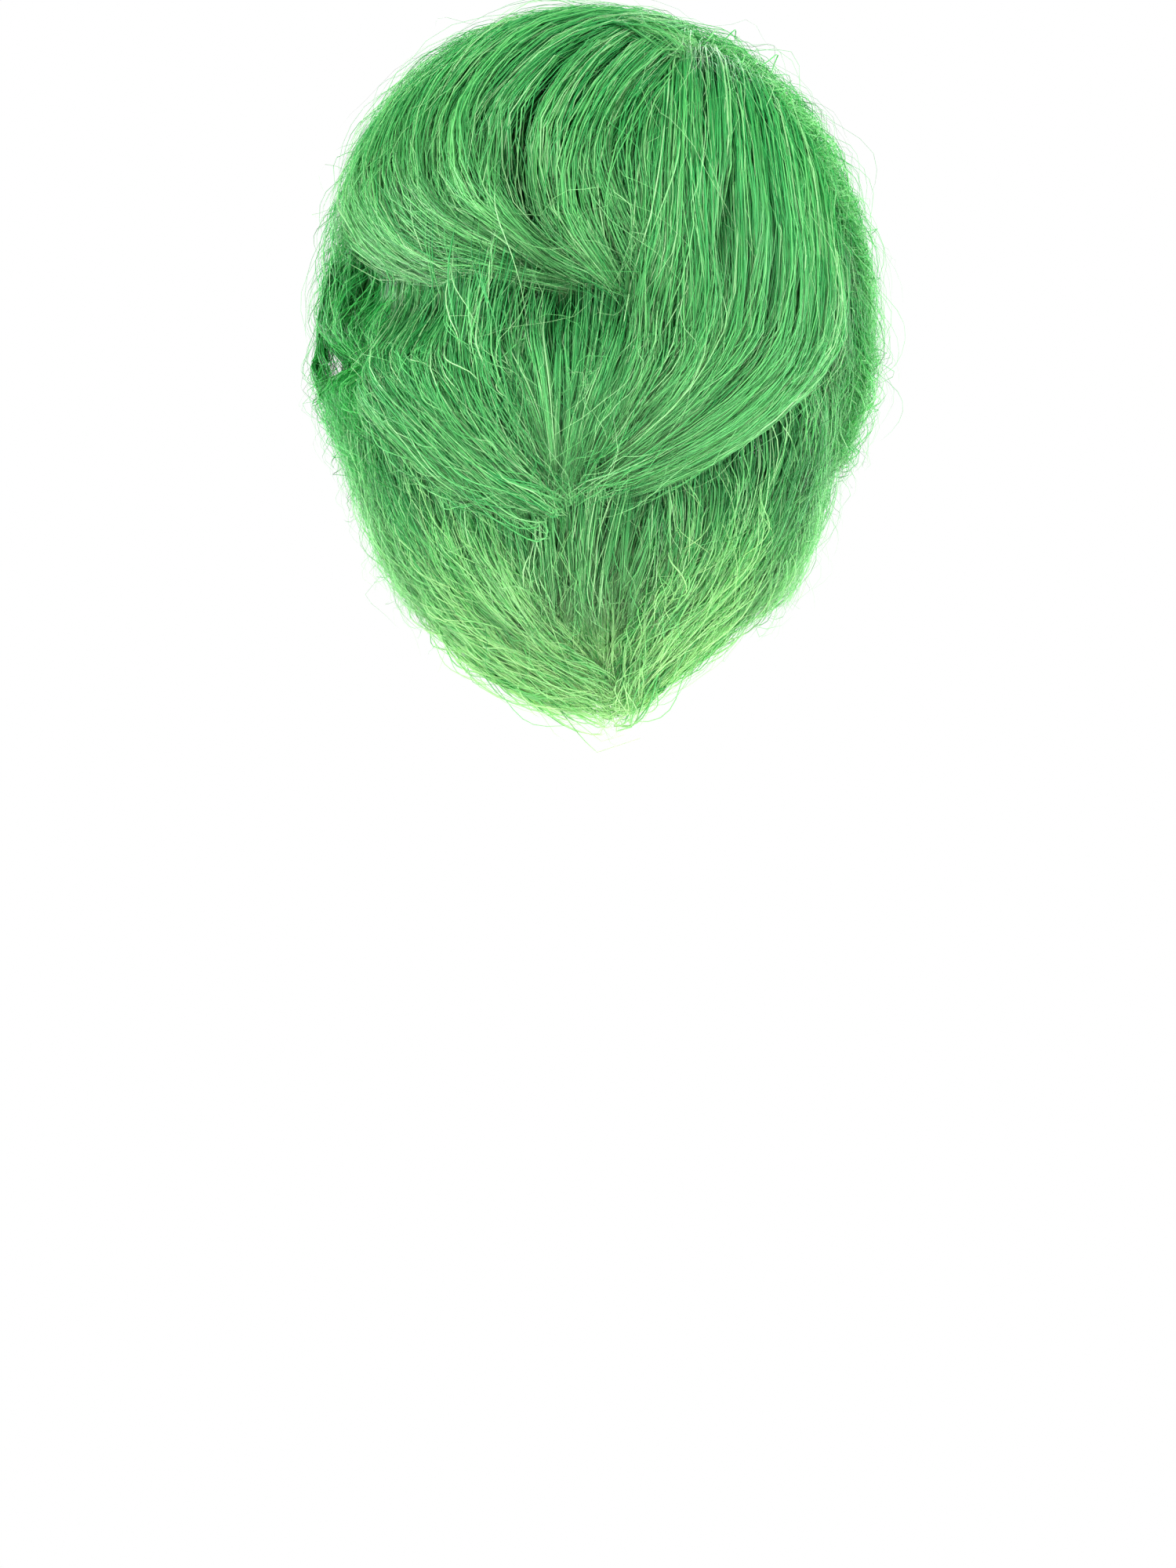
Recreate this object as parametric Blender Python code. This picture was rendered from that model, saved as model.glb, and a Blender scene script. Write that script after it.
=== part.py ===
"""A short layered costume wig: a stretch cap with sewn weft rows, two nape adjusters and masses of hair.

Metres, +Z up. The wearer faces -Y and the wearer's left is +X. The origin is the inside of the crown.
A place on the wig is (turn, fall): turn is degrees around from the back of the head towards the wearer's
left, and fall is degrees down from the crown, 90 at the widest level and 180 at the lowest lock.
"""

import math

import bmesh
import bpy
import numpy as np

# The head that the cap fits.
HEAD_HALF_WIDTH = 0.077
HEAD_HALF_DEPTH = 0.095
CROWN_HEIGHT = 0.100  # the crown above the head's widest level
NECK_HALF_WIDTH = 0.042
NECK_HALF_DEPTH = 0.050
LOWEST_LOCK = 0.135  # the lowest lock below the head's widest level

# The dressed hair's thickness over the head, so that a larger head keeps room for the cap under the hair.
HAIR_SIDE_THICKNESS = 0.028
HAIR_BACK_THICKNESS = 0.029
HAIR_RISE = 0.028  # the top of the hair above the crown
HAIR_LOW_SIDE_THICKNESS = 0.020
HAIR_LOW_BACK_THICKNESS = 0.024
HAIR_SQUARENESS = 2.2  # 2 is a plain ellipse

# The cap.
FIT_GAP = 0.0004  # between pieces that are sewn face to face
STITCH_GAP = 0.0011  # between the net and the ribbons and weft rows sewn to it
BINDING_GAP = 0.0022  # between the net's curved edge and the binding sewn to it
NET_THICKNESS = 0.0006
RIBBON_THICKNESS = 0.0008
RIBBON_WIDTH = 0.010
RIBBON_TOP_FALL = 34
BAND_THICKNESS = 0.0022
BAND_HEIGHT = 0.011
TRACK_THICKNESS = 0.0013
TRACK_HEIGHT = 0.0035
NET_LIFT = RIBBON_THICKNESS + STITCH_GAP
TRACK_LIFT = NET_LIFT + NET_THICKNESS + STITCH_GAP
PATCH_WIDTH = 0.030
PATCH_LENGTH = 0.068
PATCH_SIDE = 0.44156 * HEAD_HALF_WIDTH  # where the parting lies on the head, to the right of the middle
PATCH_FRONT = -0.75789 * HEAD_HALF_DEPTH  # where the panel's front end lies on the head
PATCH_CLEARANCE = 0.00524  # from the panel's back end to the end of the highest weft
CROWN_WEFT_FALL = 22  # the highest weft
CROWN_WEFT_STOP = math.degrees(math.acos(
    (PATCH_FRONT + PATCH_LENGTH + PATCH_CLEARANCE) / (HEAD_HALF_DEPTH * math.sin(math.radians(CROWN_WEFT_FALL)))
))  # the turn where the crown wefts stop, beside the panel
NAPE_EDGE_FALL = 122
FRONT_EDGE_FALL = 55
EAR_EDGE_FALL = 86
NAPE_BAND_TURN = 42
NAPE_LEVEL_TURN = 66  # the nape edge is level as far as this
SIDE_BAND_TURN = 98
EAR_TAB_TURN = 134
EAR_TAB_DROP = 0.036
EAR_TAB_THICKNESS = 0.0030
STAY_WIDTH = 0.007
STAY_LENGTH = 0.024
STAY_THICKNESS = 0.0006
LABEL_WIDTH = 0.022
LABEL_HEIGHT = 0.012
LABEL_THICKNESS = 0.0005

# The nape adjusters.
STRAP_WIDTH = 0.008
STRAP_THICKNESS = 0.0010
STRAP_STANDOFF = 0.0030  # from the nape band's inner face to the strap
CHANNEL_WALL = 0.0006
CHANNEL_TURNS = (36, 50)
STRAP_HOOK_TURN = 32  # where the strap meets its hook, in the loosest setting
STRAP_TAIL = 0.018  # the strap beyond its channel
HOOK_LENGTH = 0.011
HOOK_THICKNESS = 0.0014
LOOP_COUNT = 3
LOOP_PITCH = 0.008
LOOP_TAPE_THICKNESS = 0.0005

# The hair lies in four layers. A layer's share is 0 on the head and 1 at the hair's outer face.
ROOT_SHARE = 0.22
LAYER_GAP = 0.04
LAYERS = (
    {"name": "nape", "starts": 122, "under": ROOT_SHARE},
    {"name": "low", "starts": 97, "under": 0.38},
    {"name": "middle", "starts": 62, "under": 0.57},
    {"name": "top", "starts": 0, "under": 0.76},
)
RAMP_FALL = 17  # how far before a layer's roots the layer over it lifts
LOCK_GAP = 0.03  # the bare edge on each side of a mass, as a share of its width

HAIR_COLOURS = (
    (0.105, 0.440, 0.125),
    (0.090, 0.400, 0.130),
    (0.135, 0.470, 0.120),
)
CAP_COLOUR = (0.030, 0.110, 0.045)
TAPE_COLOUR = (0.055, 0.230, 0.085)
SKIN_COLOUR = (0.640, 0.450, 0.330)
PLASTIC_COLOUR = (0.720, 0.740, 0.700)
LABEL_COLOUR = (0.850, 0.850, 0.830)


def clear_scene():
    for thing in list(bpy.data.objects):
        bpy.data.objects.remove(thing)


def material(name, colour, roughness):
    made = bpy.data.materials.get(name)
    if made is None:
        made = bpy.data.materials.new(name)
        made.use_nodes = True
        shader = made.node_tree.nodes["Principled BSDF"]
        shader.inputs["Base Color"].default_value = (*colour, 1)
        shader.inputs["Roughness"].default_value = roughness
        shader.inputs["Metallic"].default_value = 0.0
        made.diffuse_color = (*colour, 1)
    return made


def smooth(value):
    share = min(max(value, 0.0), 1.0)
    return share * share * (3 - 2 * share)


def form_point(turn, fall, half_width, half_depth, rise, low_width, low_depth, power):
    """A point on a rounded head form: a superellipse above the widest level, then a waist towards the neck."""
    if fall <= 90:
        radius = math.sin(math.radians(fall)) ** (2 / power)
        height = rise * max(math.cos(math.radians(fall)), 0) ** (2 / power)
        width, depth = half_width * radius, half_depth * radius
    else:
        share = (fall - 90) / 90
        height = -LOWEST_LOCK * share
        width = half_width + (low_width - half_width) * smooth(share)
        depth = half_depth + (low_depth - half_depth) * smooth(share)
    around = math.radians(turn)
    return np.array([width * math.sin(around), depth * math.cos(around), height - CROWN_HEIGHT])


def head_point(turn, fall):
    return form_point(
        turn, fall, HEAD_HALF_WIDTH, HEAD_HALF_DEPTH, CROWN_HEIGHT, NECK_HALF_WIDTH, NECK_HALF_DEPTH, 2
    )


def hair_point(turn, fall):
    half_width = HEAD_HALF_WIDTH + HAIR_SIDE_THICKNESS
    half_depth = HEAD_HALF_DEPTH + HAIR_BACK_THICKNESS
    low_width = NECK_HALF_WIDTH + HAIR_LOW_SIDE_THICKNESS
    low_depth = NECK_HALF_DEPTH + HAIR_LOW_BACK_THICKNESS
    rise = CROWN_HEIGHT + HAIR_RISE
    return form_point(turn, fall, half_width, half_depth, rise, low_width, low_depth, HAIR_SQUARENESS)


def head_normal(turn, fall):
    step = 0.5
    if fall < step:
        return np.array([0.0, 0.0, 1.0])
    down = head_point(turn, fall + step) - head_point(turn, fall - step)
    along = head_point(turn + step, fall) - head_point(turn - step, fall)
    normal = np.cross(along, down)
    return normal / np.linalg.norm(normal)


def cap_point(turn, fall, lift):
    """A point at a height over the head."""
    return head_point(turn, fall) + lift * head_normal(turn, fall)


def dressed_point(turn, fall, share):
    """A point between the head, share 0, and the outer face of the hair, share 1."""
    return head_point(turn, fall) * (1 - share) + hair_point(turn, fall) * share


def fall_length(turn, fall):
    """Metres of head surface for each degree of fall."""
    return float(np.linalg.norm(head_point(turn, fall + 0.5) - head_point(turn, fall - 0.5)))


def turn_length(turn, fall):
    """Metres of head surface for each degree of turn."""
    return float(np.linalg.norm(head_point(turn + 0.5, fall) - head_point(turn - 0.5, fall)))


def new_object(name, mesh_data, colour, roughness, slot):
    mesh = bpy.data.meshes.new(name)
    mesh_data.to_mesh(mesh)
    mesh_data.free()
    made = bpy.data.objects.new(name, mesh)
    bpy.context.scene.collection.objects.link(made)
    mesh.materials.append(material(slot, colour, roughness))
    mesh.shade_smooth()
    mesh.set_sharp_from_angle(angle=math.radians(40))
    return made


def closed_shell(name, inner, outer, colour, roughness, slot, holes=(), dome=False):
    """One closed solid between two grids of points, with a rim round it and round each hole cell.

    A dome's rows close into a ring, and its first column is a single point."""
    rows, columns = len(inner), len(inner[0])
    build = bmesh.new()
    low = [[build.verts.new(point) for point in row] for row in inner]
    high = [[build.verts.new(point) for point in row] for row in outer]
    if dome:
        low.append(low[0])
        high.append(high[0])
        rows += 1
    solid = {
        (row, column)
        for row in range(rows - 1)
        for column in range(columns - 1)
        if (row, column) not in holes
    }
    for row, column in sorted(solid):
        corners = ((row, column), (row, column + 1), (row + 1, column + 1), (row + 1, column))
        build.faces.new([high[r][c] for r, c in corners])
        build.faces.new([low[r][c] for r, c in reversed(corners)])
        beyond = ((row - 1, column), (row, column + 1), (row + 1, column), (row, column - 1))
        for side, neighbour in enumerate(beyond):
            joined = dome and side != 1
            if neighbour not in solid and not joined:
                (r0, c0), (r1, c1) = corners[side], corners[(side + 1) % 4]
                build.faces.new([high[r1][c1], high[r0][c0], low[r0][c0], low[r1][c1]])
    bmesh.ops.remove_doubles(build, verts=build.verts, dist=1e-6)
    bmesh.ops.dissolve_degenerate(build, edges=build.edges, dist=1e-6)
    bmesh.ops.recalc_face_normals(build, faces=build.faces)
    return new_object(name, build, colour, roughness, slot)


def spaced(first, last, longest_step):
    """Evenly spaced values from first to last, no further apart than longest_step."""
    count = max(1, math.ceil(abs(last - first) / longest_step - 1e-9))
    return [first + (last - first) * step / count for step in range(count + 1)]


def edge_fall(turn):
    """The lower edge of the net: low at the nape, high over the ears, higher at the forehead."""
    around = abs((turn + 180) % 360 - 180)
    stops = (
        (0, NAPE_EDGE_FALL),
        (NAPE_LEVEL_TURN, NAPE_EDGE_FALL - 3),
        (SIDE_BAND_TURN, EAR_EDGE_FALL),
        (EAR_TAB_TURN, EAR_EDGE_FALL - 8),
        (180, FRONT_EDGE_FALL),
    )
    for (turn0, fall0), (turn1, fall1) in zip(stops, stops[1:]):
        if around <= turn1:
            return fall0 + (fall1 - fall0) * smooth((around - turn0) / (turn1 - turn0))
    return FRONT_EDGE_FALL


def cap_strip(name, turns, falls_of, lifts, colour, roughness, slot, holes=()):
    """A strip over the head: falls_of(turn) lists the falls across it, and lifts are its two faces."""
    inner = [[cap_point(turn, fall, lifts[0]) for fall in falls_of(turn)] for turn in turns]
    outer = [[cap_point(turn, fall, lifts[1]) for fall in falls_of(turn)] for turn in turns]
    return closed_shell(name, inner, outer, colour, roughness, slot, holes)


def crown_net():
    """The stretch net over the whole crown, down to the binding."""
    rings = 11
    turns = spaced(0, 360, 9)[:-1]
    inner, outer = [], []
    for turn in turns:
        falls = [edge_fall(turn) * ring / rings for ring in range(rings + 1)]
        inner.append([cap_point(turn, fall, NET_LIFT) for fall in falls])
        outer.append([cap_point(turn, fall, NET_LIFT + NET_THICKNESS) for fall in falls])
    closed_shell("crown_net", inner, outer, CAP_COLOUR, 0.9, "cap_net", dome=True)


def edge_band(name, first_turn, last_turn):
    """A stretch of the elastic binding, sewn on just below the net's edge."""

    def falls(turn):
        top = edge_fall(turn)
        degrees = 1 / fall_length(turn, top)
        return [top + BINDING_GAP * degrees, top + (BINDING_GAP + BAND_HEIGHT) * degrees]

    lifts = (FIT_GAP / 2, FIT_GAP / 2 + BAND_THICKNESS)
    return cap_strip(name, spaced(first_turn, last_turn, 6), falls, lifts, TAPE_COLOUR, 0.8, "cap_tape")


def edge_bands():
    seam = 0.8
    edge_band("nape_band", -NAPE_BAND_TURN + seam, NAPE_BAND_TURN - seam)
    edge_band("front_band", EAR_TAB_TURN + seam, 360 - EAR_TAB_TURN - seam)
    for side, sign in (("left", 1), ("right", -1)):
        edge_band(f"side_band_{side}", sign * NAPE_BAND_TURN, sign * (SIDE_BAND_TURN - seam))


def ribbons():
    """Elastic ribbons that run from the crown down to the binding, inside the net."""
    for name, turn in (
        ("ribbon_centre", 0),
        ("ribbon_left", 34),
        ("ribbon_right", -34),
        ("ribbon_side_left", 64),
        ("ribbon_side_right", -64),
    ):
        low = edge_fall(abs(turn) + math.degrees(RIBBON_WIDTH / 2 / HEAD_HALF_WIDTH))
        rows = spaced(RIBBON_TOP_FALL, low - 2, 8)
        inner, outer = [], []
        for fall in rows:
            half = RIBBON_WIDTH / 2 / turn_length(turn, fall)
            across = spaced(turn - half, turn + half, 20)
            inner.append([cap_point(at, fall, 0) for at in across])
            outer.append([cap_point(at, fall, RIBBON_THICKNESS) for at in across])
        closed_shell(name, inner, outer, TAPE_COLOUR, 0.8, "cap_tape")


def weft_tracks():
    """Rows of machine-sewn weft, each from one side of the cap round the back to the other."""
    rows = (
        ("weft_crown_upper", CROWN_WEFT_FALL, CROWN_WEFT_STOP, 170),
        ("weft_crown_middle", 36, CROWN_WEFT_STOP, 160),
        ("weft_crown_lower", 49, CROWN_WEFT_STOP, 150),
        ("weft_back_1", 61, 122, 122),
        ("weft_back_2", 71, 112, 112),
        ("weft_back_3", 80, 102, 102),
        ("weft_back_4", 89, 78, 78),
        ("weft_back_5", 98, 70, 70),
        ("weft_back_6", 107, 58, 58),
        ("weft_nape", 115, 46, 46),
    )
    for name, fall, right, left in rows:

        def falls(turn, fall=fall):
            half = TRACK_HEIGHT / 2 / fall_length(turn, fall)
            return [fall - half, fall + half]

        lifts = (TRACK_LIFT, TRACK_LIFT + TRACK_THICKNESS)
        cap_strip(name, spaced(-right, left, 9), falls, lifts, TAPE_COLOUR, 0.85, "weft_tape")


def parting_patch():
    """The skin-coloured panel under the parting, on the wearer's right, where the crown wefts stop."""
    across = spaced(-PATCH_SIDE - PATCH_WIDTH / 2, -PATCH_SIDE + PATCH_WIDTH / 2, PATCH_WIDTH / 8)
    along = spaced(PATCH_FRONT + PATCH_LENGTH, PATCH_FRONT, PATCH_LENGTH / 20)
    base = TRACK_LIFT
    inner, outer = [], []
    for y in along:
        places = []
        for x in across:
            radius = math.hypot(x / HEAD_HALF_WIDTH, y / HEAD_HALF_DEPTH)
            fall = math.degrees(math.asin(min(radius, 1)))
            turn = math.degrees(math.atan2(x / HEAD_HALF_WIDTH, y / HEAD_HALF_DEPTH))
            places.append((turn, fall))
        inner.append([cap_point(turn, fall, base) for turn, fall in places])
        outer.append([cap_point(turn, fall, base + NET_THICKNESS) for turn, fall in places])
    closed_shell("parting_patch", inner, outer, SKIN_COLOUR, 0.75, "parting_skin")


def ear_tab_grid(sign, margin, drop, lifts, above):
    """Grids of points over an ear tab, drawn in by margin at its sides and reaching above its top edge."""
    middle = (SIDE_BAND_TURN + EAR_TAB_TURN) / 2
    half = (EAR_TAB_TURN - SIDE_BAND_TURN) / 2 - 0.8
    inner, outer = [], []
    for across in spaced(-1, 1, 0.25):
        turn = middle + half * across
        turn -= margin / turn_length(turn, EAR_EDGE_FALL) * across
        top = edge_fall(turn)
        degrees = 1 / fall_length(turn, top)
        reach = drop * math.sqrt(1 - 0.72 * across * across)
        starts = top + (BINDING_GAP - above) * degrees
        ends = top + (BINDING_GAP + reach) * degrees
        falls = spaced(starts, ends, (ends - starts) / 5)
        inner.append([cap_point(sign * turn, fall, lifts[0]) for fall in falls])
        outer.append([cap_point(sign * turn, fall, lifts[1]) for fall in falls])
    return inner, outer


def ear_tabs():
    """Soft tabs in front of the ears. Each is a pocket, open at the top, round a bendable stay."""
    base = FIT_GAP / 2
    wall = (EAR_TAB_THICKNESS - STAY_THICKNESS) / 2 - FIT_GAP
    for side, sign in (("left", 1), ("right", -1)):
        lifts = (base, base + EAR_TAB_THICKNESS)
        inner, outer = ear_tab_grid(sign, 0, EAR_TAB_DROP, lifts, 0)
        tab = closed_shell(f"ear_tab_{side}", inner, outer, TAPE_COLOUR, 0.8, "cap_tape")
        pocket_lifts = (base + wall, base + EAR_TAB_THICKNESS - wall)
        inner, outer = ear_tab_grid(sign, 0.006, EAR_TAB_DROP - 0.004, pocket_lifts, 0.004)
        pocket = closed_shell(f"pocket_{side}", inner, outer, TAPE_COLOUR, 0.8, "cap_tape")
        pocket.hide_render = True
        pocket.display_type = "WIRE"
        cut = tab.modifiers.new("pocket", "BOOLEAN")
        cut.operation = "DIFFERENCE"
        cut.solver = "EXACT"
        cut.object = pocket
        ear_stay(side, sign, base + wall + FIT_GAP)


def ear_stay(side, sign, lift):
    turn = (SIDE_BAND_TURN + EAR_TAB_TURN) / 2
    half = STAY_WIDTH / 2 / turn_length(turn, EAR_EDGE_FALL)
    top = edge_fall(turn)
    degrees = 1 / fall_length(turn, top)
    falls = spaced(top + 0.003 * degrees, top + (0.003 + STAY_LENGTH) * degrees, 4)
    inner, outer = [], []
    for at in spaced(turn - half, turn + half, 3):
        inner.append([cap_point(sign * at, fall, lift) for fall in falls])
        outer.append([cap_point(sign * at, fall, lift + STAY_THICKNESS) for fall in falls])
    closed_shell(f"ear_stay_{side}", inner, outer, PLASTIC_COLOUR, 0.5, "stay_plastic")


def size_label():
    """A blank cloth label, sewn inside the back of the cap."""
    low = edge_fall(0) - 4
    high = low - LABEL_HEIGHT / fall_length(0, low)
    half = LABEL_WIDTH / 2 / turn_length(0, low)
    lifts = (-FIT_GAP * 2 - LABEL_THICKNESS, -FIT_GAP * 2)
    cap_strip("size_label", spaced(-half, half, 6), lambda turn: spaced(high, low, 6), lifts,
              LABEL_COLOUR, 0.85, "label_cloth")


class StrapPath:
    """The cone that an adjuster strap slides round: a vertical axis and a tilted section at the nape."""

    def __init__(self, sign):
        top = edge_fall(20)
        middle = top + (BINDING_GAP + BAND_HEIGHT / 2) / fall_length(20, top)
        places = [head_point(sign * turn, middle)[:2] for turn in (12, 36, 60)]
        first, second, third = places
        across = np.array([second - first, third - first]) * 2
        squares = np.array([second @ second - first @ first, third @ third - first @ first])
        self.sign = sign
        self.centre = np.linalg.solve(across, squares)
        self.radius = float(np.linalg.norm(first - self.centre))
        self.level = float(head_point(sign * 36, middle)[2])
        rise = head_point(sign * 36, middle - 1) - head_point(sign * 36, middle + 1)
        outward = places[1] - self.centre
        outward /= np.linalg.norm(outward)
        tilt = np.array([rise[:2] @ outward, rise[2]])
        self.up = tilt / np.linalg.norm(tilt)
        self.out = np.array([self.up[1], -self.up[0]])

    def angle_of(self, turn):
        """The angle about the axis, in degrees, of the head's surface at this turn."""
        place = head_point(self.sign * turn, 120)[:2] - self.centre
        return math.degrees(math.atan2(place[0], place[1]))

    def degrees(self, length):
        return math.degrees(length / self.radius) * self.sign

    def point(self, angle, height, lift):
        """height is along the tilted band and lift is out from the band's inner face."""
        reach = self.radius + self.up[0] * height + self.out[0] * lift
        level = self.level + self.up[1] * height + self.out[1] * lift
        around = math.radians(angle)
        x, y = self.centre[0] + reach * math.sin(around), self.centre[1] + reach * math.cos(around)
        return np.array([x, y, level])

    def place(self, made):
        """Move an object's origin onto the axis."""
        origin = (self.centre[0], self.centre[1], self.level)
        for vertex in made.data.vertices:
            vertex.co.x -= origin[0]
            vertex.co.y -= origin[1]
            vertex.co.z -= origin[2]
        made.location = origin

    def strip(self, name, angles, heights, lifts, colour, roughness, slot, holes=()):
        inner = [[self.point(angle, height, lifts[0]) for height in heights] for angle in angles]
        outer = [[self.point(angle, height, lifts[1]) for height in heights] for angle in angles]
        return closed_shell(name, inner, outer, colour, roughness, slot, holes)


def strap_channel(path, side):
    """A cloth sleeve, open at both ends, that the strap slides through."""
    clear = FIT_GAP
    half_bore = STRAP_WIDTH / 2 + clear
    low, high = -STRAP_STANDOFF - STRAP_THICKNESS - clear, -STRAP_STANDOFF + clear
    bore = [(-half_bore, low), (half_bore, low), (half_bore, high), (-half_bore, high)]
    wall = CHANNEL_WALL
    shell = [(h + math.copysign(wall, h), v + (wall if v > low else -wall)) for h, v in bore]
    angles = spaced(path.angle_of(CHANNEL_TURNS[0]), path.angle_of(CHANNEL_TURNS[1]), 4)
    build = bmesh.new()
    rings = []
    for angle in angles:
        inside = [build.verts.new(path.point(angle, h, v)) for h, v in bore]
        outside = [build.verts.new(path.point(angle, h, v)) for h, v in shell]
        rings.append((inside, outside))
    for (inside0, outside0), (inside1, outside1) in zip(rings, rings[1:]):
        for corner in range(4):
            after = (corner + 1) % 4
            build.faces.new([outside0[corner], outside0[after], outside1[after], outside1[corner]])
            build.faces.new([inside0[corner], inside1[corner], inside1[after], inside0[after]])
    for inside, outside in (rings[0], rings[-1]):
        for corner in range(4):
            after = (corner + 1) % 4
            build.faces.new([inside[corner], inside[after], outside[after], outside[corner]])
    bmesh.ops.recalc_face_normals(build, faces=build.faces)
    new_object(f"strap_channel_{side}", build, TAPE_COLOUR, 0.8, "cap_tape")


def adjusters():
    for side, sign in (("left", 1), ("right", -1)):
        path = StrapPath(sign)
        strap_channel(path, side)
        lifts = (-STRAP_STANDOFF - STRAP_THICKNESS, -STRAP_STANDOFF)
        half = STRAP_WIDTH / 2
        hook_angle = path.angle_of(STRAP_HOOK_TURN)
        tail_angle = path.angle_of(CHANNEL_TURNS[1]) + path.degrees(STRAP_TAIL)
        strap = path.strip(f"adjuster_strap_{side}", spaced(hook_angle, tail_angle, 4), (-half, half),
                           lifts, TAPE_COLOUR, 0.8, "strap_elastic")
        path.place(strap)
        path.place(strap_hook(path, side, hook_angle, half))
        loop_tape(path, side, hook_angle, half)


def strap_hook(path, side, hook_angle, half):
    """A flat moulded hook: an eye for the strap, then a mouth that opens towards it."""
    start = hook_angle - path.degrees(FIT_GAP)
    angles = [start - path.degrees(HOOK_LENGTH * share) for share in (0, 0.14, 0.34, 0.48, 0.68, 0.84, 1)]
    heights = [half * share for share in (-1, -0.55, -0.15, 0.4, 1)]
    middle = -STRAP_STANDOFF - STRAP_THICKNESS / 2
    lifts = (middle - HOOK_THICKNESS / 2, middle + HOOK_THICKNESS / 2)
    eye = {(1, 1), (1, 2)}
    mouth = {(3, 2), (3, 3), (4, 2)}
    beside_shank = {(3, 0), (4, 0), (5, 0)}
    return path.strip(f"strap_hook_{side}", angles, heights, lifts, PLASTIC_COLOUR, 0.35,
                      "hook_plastic", eye | mouth | beside_shank)


def loop_tape(path, side, hook_angle, half):
    """A tape on the nape band with a row of slots that the hook catches in."""
    first = hook_angle - path.degrees(HOOK_LENGTH * 0.7)
    angles = []
    for loop in range(LOOP_COUNT + 1):
        at = first - path.degrees(LOOP_PITCH * (loop - 0.3))
        angles += [at, at - path.degrees(LOOP_PITCH * 0.35)]
    heights = (-half, -half * 0.6, half * 0.6, half)
    slots = {(2 * loop + 1, 1) for loop in range(LOOP_COUNT)}
    hook_face = -STRAP_STANDOFF - STRAP_THICKNESS / 2 + HOOK_THICKNESS / 2
    lifts = (hook_face + FIT_GAP, hook_face + FIT_GAP + LOOP_TAPE_THICKNESS)
    path.strip(f"hook_loops_{side}", angles, heights, lifts, TAPE_COLOUR, 0.8, "cap_tape", slots)


def bend(points, share):
    """A smooth curve through hand-placed points, read at a share of the way along it."""
    count = len(points) - 1
    at = min(max(share, 0), 1) * count
    index = min(int(at), count - 1)
    local = at - index
    known = [np.array(points[min(max(index + step, 0), count)], float) for step in (-1, 0, 1, 2)]
    before, start, end, after = known
    slope0, slope1 = (end - before) / 2, (after - start) / 2
    square, cube = local * local, local * local * local
    return (
        (2 * cube - 3 * square + 1) * start
        + (cube - 2 * square + local) * slope0
        + (3 * square - 2 * cube) * end
        + (cube - square) * slope1
    )


def under_share(layer, fall):
    """The inner face of a layer: on the cap until the layer below it starts, then over that layer."""
    if layer == 0:
        return ROOT_SHARE
    below = LAYERS[layer - 1]["starts"]
    lift = smooth((fall - (below - RAMP_FALL)) / RAMP_FALL)
    return ROOT_SHARE + (LAYERS[layer]["under"] - ROOT_SHARE) * lift


def over_share(layer, fall):
    """The outer face of a layer: just under the next layer, or the outer face of all the hair."""
    if layer == len(LAYERS) - 1:
        return 1.0
    return under_share(layer + 1, fall) - LAYER_GAP


def to_map(place):
    turn, fall = place
    return np.array([fall * math.sin(math.radians(turn)), fall * math.cos(math.radians(turn))])


def from_map(place):
    return math.degrees(math.atan2(place[0], place[1])), float(np.hypot(*place))


def hair_mass(name, layer, first_edge, last_edge, over_crown=False, columns=5, rows=8):
    """A mass of hair between two edges that run from roots to tips, thin at its edges and its tips."""
    inner, outer = [], []
    if over_crown:
        first_edge = [to_map(place) for place in first_edge]
        last_edge = [to_map(place) for place in last_edge]
    for column in range(columns + 1):
        across = LOCK_GAP + (1 - 2 * LOCK_GAP) * column / columns
        inner_line, outer_line = [], []
        for row in range(rows + 1):
            along = row / rows
            place = bend(first_edge, along) * (1 - across) + bend(last_edge, along) * across
            turn, fall = from_map(place) if over_crown else place
            under = under_share(layer, fall)
            over = over_share(layer, fall)
            full = (0.45 + 0.55 * math.sin(math.pi * across) ** 0.6) * (1 - 0.55 * along**4)
            full *= 0.55 + 0.45 * smooth(along / 0.2)
            inner_line.append(dressed_point(turn, fall, under))
            outer_line.append(dressed_point(turn, fall, under + (over - under) * full))
        inner.append(inner_line)
        outer.append(outer_line)
    colour = HAIR_COLOURS[layer % len(HAIR_COLOURS)]
    closed_shell(name, inner, outer, colour, 0.45, "hair")


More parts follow.
